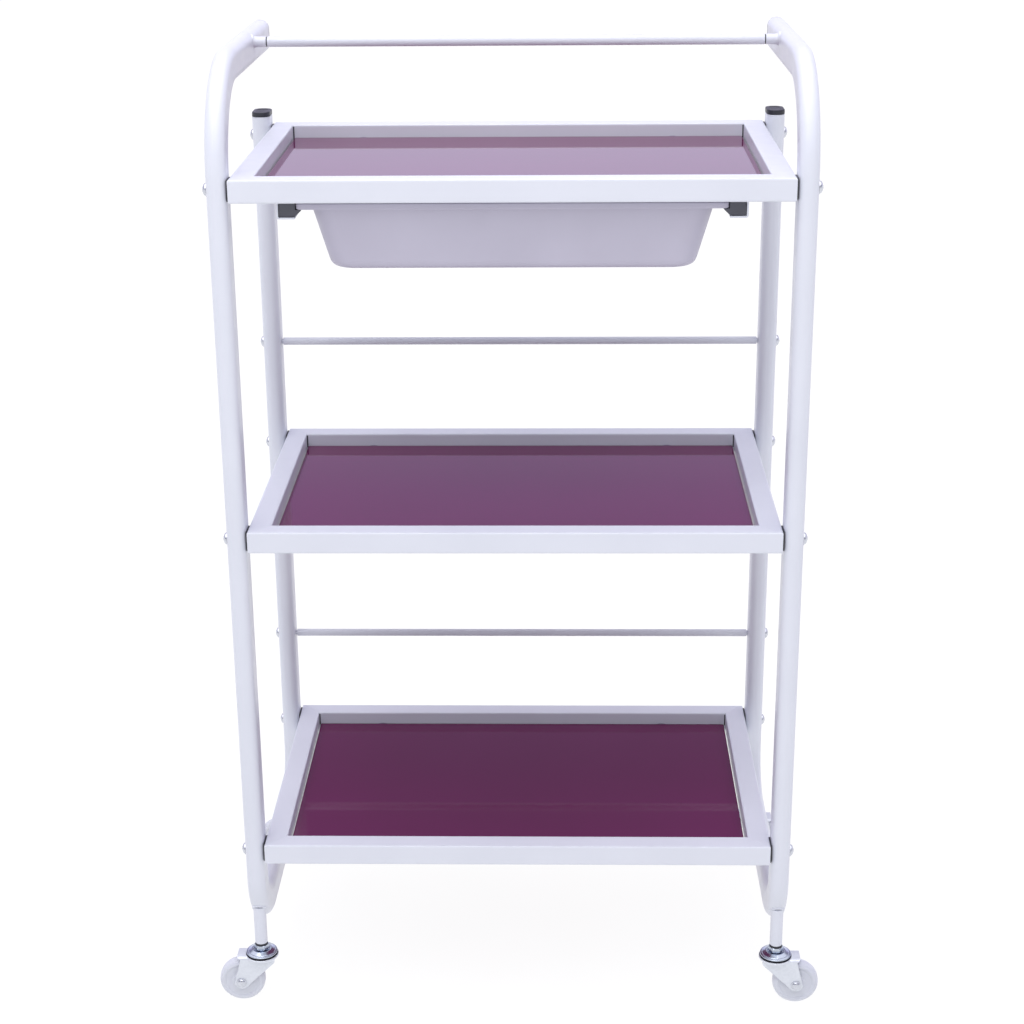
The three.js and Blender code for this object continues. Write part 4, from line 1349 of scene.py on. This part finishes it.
@dataclass
class Caster:
    """A swivel caster: threaded stem with its nut, domed cap, pressed fork, axle and wheel.

    Args:
        end: Front or rear.
        side: Left or right.
    """

    end: End
    side: Side
    nut_flats: float = 13.0
    nut_height: float = 6.4
    collar_diameter: float = 12.4
    collar_height: float = 1.7
    stem_diameter: float = 8.0
    pin_diameter: float = 6.0
    pin_head: float = 10.0
    pin_head_height: float = 2.0
    cap_diameter: float = 30.0
    cap_well: float = 15.6
    # the black ring under the cap, painted shade for the gap there
    seal_diameter: float = 31.0
    plate_diameter: float = 32.0
    plate_height: float = 3.0
    fork_wall: float = 2.0
    fork_bend: float = 3.2
    fork_heel: float = 13.0
    heel_drop: float = 2.2
    fork_crown: float = 23.5
    crown_corner: float = 3.2
    fork_foot: float = 6.5
    wheel_bore: float = 6.7
    hub_diameter: float = 16.0
    dish: float = 1.1
    tread_edge: float = 4.0
    axle_diameter: float = 6.0
    axle_head: float = 10.0
    axle_seat: float = 10.1
    pin_play: float = 0.35
    nut_gap: float = 0.3
    cheek_limit: float = 10.0
    spokes: int = 6
    spoke_rise: float = 0.25
    place_name: str = field(init=False)
    stem_box: Extent = field(init=False)
    fork_box: Extent = field(init=False)
    wheel_box: Extent = field(init=False)

    def __post_init__(self) -> None:
        """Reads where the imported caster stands."""
        self.place_name = f"{self.end.word}_{self.side.word}"
        self.stem_box = Extent.of(f"caster_stem_{self.place_name}")
        self.fork_box = Extent.of(f"caster_fork_{self.place_name}")
        self.wheel_box = Extent.of(f"caster_wheel_{self.place_name}")

    @property
    def axis_place(self) -> Array:
        """The swivel axis on the floor."""
        return self.stem_box.foot

    @property
    def trail(self) -> float:
        """Signed distance of the axle from the swivel axis along X."""
        return float(self.wheel_box.middle[0] - self.stem_box.middle[0])

    def stem(self) -> Skin:
        """The king pin and stem in one turned bar, and the six-sided nut with chamfered corners.

        The nut's radius is the lesser of the hexagon's and of a circle that closes in at both ends.
        """
        low, high = self.stem_box.low[2], self.stem_box.high[2]
        cap = Extent.of(f"caster_cap_{self.place_name}")
        nut_low = cap.high[2] + self.nut_gap
        pin, head, shaft = self.pin_diameter / 2, self.pin_head / 2, self.stem_diameter / 2
        shoulder = nut_low + self.nut_height / 2
        neck = low + self.pin_head_height
        bar = turned(np.array([
            [0.0, low], [head, low], [head, neck], [pin, neck],
            [pin, shoulder], [shaft, shoulder], [shaft, high], [0.0, high],
        ]), np.array([0.6, 0.2, 0.1, 0.1, 0.1, 0.6]))
        steps = 72
        body = self.nut_height - self.collar_height
        heights = nut_low + np.array([0.0, 0.0, 0.35, 0.9, body - 0.9, body - 0.35, body, body])
        circle = self.nut_flats / 2 * np.array([0.6, 1.0, 1.07, 1.16, 1.16, 1.07, 1.0, 0.6])
        nut = revolved(np.minimum(hexagon(self.nut_flats, steps)[None], circle[:, None]), heights, steps)
        skin = Skin(f"caster_spindle_{self.place_name}")
        return skin.add(bar + self.axis_place).add(nut + self.axis_place)

    def collar(self) -> Skin:
        """The dark ring on the nut, round the foot of the socket."""
        cap_top = float(Extent.of(f"caster_cap_{self.place_name}").high[2])
        top = cap_top + self.nut_gap + self.nut_height
        outer, inner, low = self.collar_diameter / 2, self.stem_diameter / 2 + 0.3, top - self.collar_height
        profile = np.array([[inner, low], [outer, low], [outer - 0.3, top], [inner, top]])
        grid = turned(profile, 0.4, closed=True) + self.axis_place
        return Skin(f"caster_collar_{self.place_name}").add(grid, ring_rows=True)

    def seal(self) -> Skin:
        """The black ring between the swivel plate and the cap: painted shade for the gap under the cap's rim.
        """
        low = self.fork_box.high[2] + 0.08
        high = low + 0.5
        outer, inner = self.seal_diameter / 2, self.pin_diameter / 2 + 0.6
        profile = np.array([[inner, low], [outer, low], [outer, high], [inner, high]])
        grid = turned(profile, 0.15, 64, closed=True, parts=2) + self.axis_place
        return Skin(f"caster_seal_{self.place_name}").add(grid, ring_rows=True)

    def cap(self) -> Skin:
        """The pressed cap on the swivel: a rolled rim, a step, a domed shoulder and a well for the nut."""
        box = Extent.of(f"caster_cap_{self.place_name}")
        low, high = box.low[2], box.high[2]
        rim, well = self.cap_diameter / 2, self.cap_well / 2
        bore = self.pin_diameter / 2 + self.pin_play
        corners = np.array([
            [bore, low], [rim - 1.6, low], [rim - 0.9, low + 0.5], [rim, low + 0.9], [rim - 0.1, low + 2.0],
            [rim - 1.9, low + 2.4], [rim - 2.1, low + 2.9], [well + 1.6, high],
            [well + 0.3, high], [well - 0.7, high - 1.3], [bore, high - 1.3],
        ])
        cuts = np.array([0.1, 0.3, 0.3, 0.45, 0.5, 0.3, 0.3, 1.2, 0.4, 0.5, 0.1])
        grid = turned(corners, cuts, 64, closed=True, parts=5) + self.axis_place
        return Skin(f"caster_crown_{self.place_name}").add(grid, ring_rows=True)

    def fork(self) -> Skin:
        """The pressed fork under its round swivel plate.

        One sheet runs up a cheek, over the crown and down the other cheek. At part t of a cheek, from the
        crown down, the sheet reaches from the rear edge to the front edge of the cheek's outline, and both
        edges end in the round foot under the axle. The inner face is the same sheet one wall further in.
        """
        crown_top = self.fork_box.high[2]
        outer, wall = min(self.fork_box.size[1] / 2, self.cheek_limit), self.fork_wall
        outside = self._fork_face(crown_top, outer, self.fork_bend)
        inside = self._fork_face(crown_top - wall, outer - wall, self.fork_bend - wall)
        ring = np.concatenate([outside, inside[:, ::-1]], axis=1)
        rim, low = self.plate_diameter / 2, crown_top - self.plate_height
        pin, dish = self.pin_diameter / 2 + self.pin_play, crown_top - 0.5
        plate = turned(np.array([
            [pin, low], [rim - 1.2, low], [rim, low + 0.9], [rim, crown_top - 0.4],
            [rim - 1.0, crown_top], [rim - 2.2, crown_top], [rim - 3.0, dish], [pin, dish],
        ]), np.array([0.1, 0.5, 0.4, 0.4, 0.4, 0.4, 0.3, 0.1]), 64, closed=True, parts=4)
        mirror = np.array([math.copysign(1.0, self.trail), 1.0, 1.0])
        skin = Skin(f"caster_yoke_{self.place_name}").add(ring * mirror + self.axis_place)
        return skin.add(plate + self.axis_place, ring_rows=True)

    def _fork_face(self, top: float, outer: float, bend: float) -> Array:
        """One face of the pressed sheet, as rows across the fork and columns from its rear to its front edge.

        Args:
            top: Height of the crown's face.
            outer: Half width over the cheeks' faces.
            bend: Radius of the bend between crown and cheek.

        Returns:
            A grid of shape (rows, columns, 3).
        """
        axle_z, trail, foot = self.wheel_box.middle[2], abs(self.trail), self.fork_foot
        columns = np.linspace(0.0, 1.0, 15)
        arc = np.linspace(0.0, math.pi / 2, 7)
        spring = top - bend
        turn = np.linspace(0.0, math.pi / 2, 9)
        knee = np.array([-self.fork_heel, spring - self.heel_drop])
        tangent = np.array([trail - foot * math.sqrt(0.5), axle_z - foot * math.sqrt(0.5)])
        straight = np.linspace([-self.fork_heel, spring], knee, 3)
        slope = np.linspace(knee, tangent, 12)[1:]
        half_turn = math.pi / 4 * (1 - turn / (math.pi / 2))
        rear_arc = np.stack([trail - foot * np.sin(half_turn), axle_z - foot * np.cos(half_turn)], axis=1)[1:]
        rear = np.vstack([straight, slope, rear_arc])
        lean = np.linspace([self.fork_crown - self.crown_corner, spring], [trail + foot, axle_z], 14)
        front_arc = np.stack([trail + foot * np.cos(turn), axle_z - foot * np.sin(turn)], axis=1)[1:]
        front = np.vstack([lean, front_arc])
        share = np.linspace(0.0, 1.0, 30)
        rear, front = self._resampled(rear, share)[:, None], self._resampled(front, share)[:, None]
        cheek = rear * (1 - columns[None, :, None]) + front * columns[None, :, None]
        cheek = np.concatenate([cheek, np.full(cheek.shape[:2] + (1,), outer)], axis=-1)[..., [0, 2, 1]]
        front_edge = self.fork_crown - self.crown_corner * (1 - np.sin(arc))
        bend_rows = np.stack([
            np.linspace(np.full(len(arc), -self.fork_heel), front_edge, len(columns), axis=1),
            np.tile((outer - bend + bend * np.cos(arc))[:, None], len(columns)),
            np.tile((top - bend + bend * np.sin(arc))[:, None], len(columns)),
        ], axis=-1)
        half = np.concatenate([cheek[::-1], bend_rows[1:]], axis=0)
        other = half[::-1] * np.array([1.0, -1.0, 1.0])
        return np.concatenate([half, other], axis=0)

    @staticmethod
    def _resampled(line: Array, share: Array) -> Array:
        """Points at the given shares of a line's length."""
        length = np.concatenate([[0.0], np.cumsum(np.linalg.norm(np.diff(line, axis=0), axis=1))])
        return np.stack([np.interp(share * length[-1], length, line[:, k]) for k in range(2)], axis=1)

    def wheel(self) -> Skin:
        """The wheel: a turned tread with round shoulders, dished webs with soft spokes, and a hub.

        The web's height over its dish is the spokes' rise times (half of 1 + cos(spokes t)) to the fourth
        power, and fades out at the hub and at the tread.
        """
        r = self.wheel_box.size[2] / 2
        half = self.wheel_box.size[1] / 2
        hub, edge, dish = self.hub_diameter / 2, self.tread_edge, self.dish
        bore = self.wheel_bore / 2
        web_rim = r - edge - 2.6
        face = np.array([
            [bore, half], [hub, half], [hub + 1.2, half - dish], [web_rim, half - dish],
            [web_rim + 1.2, half - 0.5], [web_rim + 3.0, half],
            [r - 0.9, half - edge * 0.42], [r, half - edge - 0.6],
        ])
        profile = np.vstack([face, face[::-1] * np.array([1.0, -1.0])])
        cuts = np.array([0.2, 0.5, 0.8, 0.8, 0.7, 0.8, 1.2, 1.6])
        line = soften(profile, np.concatenate([cuts, cuts[::-1]]), steps=4)
        steps = 96
        turn = np.arange(steps) * 2 * math.pi / steps
        spoke = (0.5 + 0.5 * np.cos(self.spokes * turn)) ** 4
        web = np.clip((line[:, 0] - hub - 1.6) / 1.5, 0, 1) * np.clip((web_rim - line[:, 0]) / 1.5, 0, 1)
        heights = line[:, 1:] + np.sign(line[:, 1:]) * web[:, None] * spoke[None] * self.spoke_rise
        grid = laid(revolved(line[:, 0], heights, steps), Axis.Y, self.wheel_box.middle)
        return Skin(f"caster_roller_{self.place_name}").add(grid, ring_rows=True)

    def axle(self) -> Skin:
        """The axle bolt, with a domed head and a washer outside each cheek."""
        box = Extent.of(f"caster_axle_{self.place_name}")
        half = box.size[1] / 2
        shank, head, seat = self.axle_diameter / 2, self.axle_head / 2, self.axle_seat
        arc = np.linspace(0.0, math.pi / 2, 7)
        dome = np.column_stack([(head - 0.9) * np.cos(arc), seat + 1.0 + (half - seat - 1.0) * np.sin(arc)])
        upper = np.vstack([
            [[shank, seat], [head, seat], [head, seat + 0.7], [head - 0.9, seat + 0.8]], dome,
        ])
        line = np.vstack([upper[::-1] * np.array([1.0, -1.0]), upper])
        grid = laid(turned(line, steps=40), Axis.Y, box.middle)
        return Skin(f"caster_pin_{self.place_name}").add(grid)

    def build(self) -> None:
        """Makes the caster's seven pieces and hangs them on its bodies."""
        place, fork_body, wheel_body = self.place_name, f"fork_{self.place_name}", f"wheel_{self.place_name}"
        dress(self.stem(), CHROME, FRAME_BODY, f"caster_stem_{place}")
        dress(self.cap(), CHROME, FRAME_BODY, f"caster_cap_{place}")
        dress(self.collar(), BLACK_PLASTIC, FRAME_BODY)
        # black ring under the cap: painted shade for the gap
        dress(self.seal(), BLACK_PLASTIC, FRAME_BODY)
        dress(self.fork(), PALE_ZINC, fork_body, f"caster_fork_{place}")
        dress(self.axle(), ZINC, fork_body, f"caster_axle_{place}")
        dress(self.wheel(), WHEEL_PLASTIC, wheel_body, f"caster_wheel_{place}")


# ---------------------------------------------------------------- studio


@dataclass
class Studio:
    """A plain pale floor, a soft sky and two soft boxes, one overhead and one in front.

    The sky's stops give its colour at a share of the height, from the horizon at 0 to straight up at 1.
    """

    floor_half: float = 30000.0
    floor_drop: float = 0.02
    floor_lines: int = 9
    sky_blend: float = 0.4
    overhead_size: float = 2.2
    overhead_power: float = 24.0
    overhead_place: tuple[float, float, float] = (-0.3, -0.3, 3.0)
    front_size: float = 2.1
    front_power: float = 22.0
    front_place: tuple[float, float, float] = (-0.25, -1.9, 2.6)
    aim: tuple[float, float, float] = (0.0, 0.0, 0.6)
    rear_stops: tuple[tuple[float, Colour], ...] = (
        (0.0, (0.95, 0.93, 1.15)), (0.20, (0.92, 0.92, 1.18)), (0.33, (0.55, 0.45, 0.72)),
        (0.46, (0.31, 0.29, 0.39)), (0.56, (0.30, 0.29, 0.38)),
        (0.68, (1.22, 1.20, 1.30)), (1.0, (1.22, 1.20, 1.30)),
    )
    front_stops: tuple[tuple[float, Colour], ...] = (
        (0.0, (0.90, 0.90, 0.95)), (0.08, (0.88, 0.88, 0.93)), (0.22, (0.30, 0.30, 0.36)),
        (0.56, (0.28, 0.28, 0.34)), (0.68, (1.22, 1.20, 1.30)), (1.0, (1.22, 1.20, 1.30)),
    )

    def floor(self) -> None:
        """Lays the floor: a wide flat grid just under the wheels."""
        ends = np.linspace(-self.floor_half, self.floor_half, self.floor_lines)
        x, y = np.meshgrid(ends, ends)
        points = np.stack([x, y, np.full_like(x, -self.floor_drop)], axis=-1).reshape(-1, 3) * MM
        index = np.arange(x.size).reshape(x.shape)
        quads = np.stack([index[:-1, :-1], index[:-1, 1:], index[1:, 1:], index[1:, :-1]], axis=-1)
        mesh = bpy.data.meshes.new("floor")
        mesh.from_pydata(points, [], quads.reshape(-1, 4).tolist())
        floor = bpy.data.objects.new("floor", mesh)
        bpy.context.scene.collection.objects.link(floor)
        mesh.materials.append(FLOOR.material())

    def sky(self) -> None:
        """Sets the surrounding light: a wide bright band behind the trolley, and a thin one in front.

        The brightness follows the direction's height, on one scale for the rear half and one for the front
        half, and the two blend over the direction's Y.
        """
        world = bpy.data.worlds.new("soft_studio")
        world.use_nodes = True
        tree = world.node_tree
        back = tree.nodes["Background"]
        split = tree.nodes.new("ShaderNodeSeparateXYZ")
        tree.links.new(tree.nodes.new("ShaderNodeTexCoord").outputs["Generated"], split.inputs[0])
        blend = tree.nodes.new("ShaderNodeMapRange")
        blend.inputs["From Min"].default_value = -self.sky_blend
        blend.inputs["From Max"].default_value = self.sky_blend
        tree.links.new(split.outputs["Y"], blend.inputs["Value"])
        mix = tree.nodes.new("ShaderNodeMix")
        mix.data_type = "RGBA"
        tree.links.new(blend.outputs["Result"], mix.inputs["Factor"])
        for stops, socket in ((self.front_stops, mix.inputs[6]), (self.rear_stops, mix.inputs[7])):
            ramp = tree.nodes.new("ShaderNodeValToRGB")
            elements = ramp.color_ramp.elements
            while len(elements) < len(stops):
                elements.new(0.5)
            for element, (position, colour) in zip(elements, stops):
                element.position = position
                element.color = (*colour, 1.0)
            tree.links.new(split.outputs["Z"], ramp.inputs["Fac"])
            tree.links.new(ramp.outputs["Color"], socket)
        tree.links.new(mix.outputs[2], back.inputs["Color"])
        bpy.context.scene.world = world

    def lamp(self, name: str, size: float, power: float, place: tuple[float, float, float]) -> None:
        """Hangs a square soft box that faces the trolley's upper half.

        Args:
            name: The lamp's name.
            size: Its side, in metres.
            power: Its power, in watts.
            place: Where it hangs, in metres.
        """
        light = bpy.data.lights.new(name, "AREA")
        light.shape = "SQUARE"
        light.size = size
        light.energy = power
        lamp = bpy.data.objects.new(name, light)
        lamp.location = place
        aim = Vector(self.aim) - Vector(place)
        lamp.rotation_euler = aim.to_track_quat("-Z", "Y").to_euler()
        bpy.context.scene.collection.objects.link(lamp)

    def build(self) -> None:
        """Sets up the floor, the sky and the soft boxes, with plain colours on screen."""
        self.floor()
        self.sky()
        self.lamp("overhead_softbox", self.overhead_size, self.overhead_power, self.overhead_place)
        self.lamp("front_softbox", self.front_size, self.front_power, self.front_place)
        bpy.context.scene.view_settings.view_transform = "Standard"


@dataclass
class FrontCamera:
    """The camera in front of the trolley, looking a little down.

    Its place is in millimetres, from the trolley's middle and over the top shelf. Its angles are in radians.
    """

    across: float = 38.5
    in_front: float = -1826.8
    over_top: float = 311.0
    pitch: float = 0.3477
    yaw: float = -0.0241
    roll: float = -0.0085
    lens: float = 70.73
    sensor: float = 36.0
    far_clip: float = 200.0

    def build(self) -> None:
        """Places the camera, which looks along (sin yaw cos pitch, cos yaw cos pitch, -sin pitch) and rolls."""
        top = float(Extent.of("top_shelf_frame").high[2])
        ahead = np.array([math.sin(self.yaw), math.cos(self.yaw), 0.0]) * math.cos(self.pitch)
        ahead[2] = -math.sin(self.pitch)
        level = np.array([math.cos(self.yaw), -math.sin(self.yaw), 0.0])
        up = np.cross(level, ahead)
        right = math.cos(self.roll) * level + math.sin(self.roll) * up
        above = -math.sin(self.roll) * level + math.cos(self.roll) * up
        data = bpy.data.cameras.new("front_camera")
        data.lens = self.lens
        data.sensor_width = self.sensor
        data.clip_end = self.far_clip
        camera = bpy.data.objects.new("front_camera", data)
        turn = np.eye(4)
        turn[:3, :3] = np.column_stack([right, above, -ahead])
        turn[:3, 3] = np.array([self.across, self.in_front, top + self.over_top]) * MM
        camera.matrix_world = Matrix(turn.tolist())
        bpy.context.scene.collection.objects.link(camera)
        bpy.context.scene.camera = camera


def side_bolts() -> list[SideBolt]:
    """Every bolt on the side frames, with the shank of its kind."""
    shelf = [
        SideBolt(f"{level.value}_shelf_bolt_{end.word}_{side.word}", 6.0)
        for level in Level for end in End for side in Side
    ]
    rods = [
        SideBolt(f"{rod}_bolt_{side.word}", 5.0)
        for rod in ("upper_tie_rod", "lower_tie_rod") for side in Side
    ]
    return shelf + rods


def main() -> None:
    """Builds the studio and the trolley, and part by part."""
    logging.basicConfig(level=logging.INFO, format="%(message)s")
    FrontCamera().build()
    Studio().build()
    parts = [SideFrame(side) for side in Side]
    parts += [Shelf(level) for level in Level]
    parts += side_bolts()
    parts += [CrossRod(node) for node in ("handle_rod", "upper_tie_rod", "lower_tie_rod")]
    parts += [Runner(side) for side in Side]
    parts += [SlideBar(side) for side in Side]
    parts += [Tray()]
    parts += [Caster(end, side) for end in End for side in Side]
    for part in parts:
        part.build()


if __name__ == "__main__":
    main()
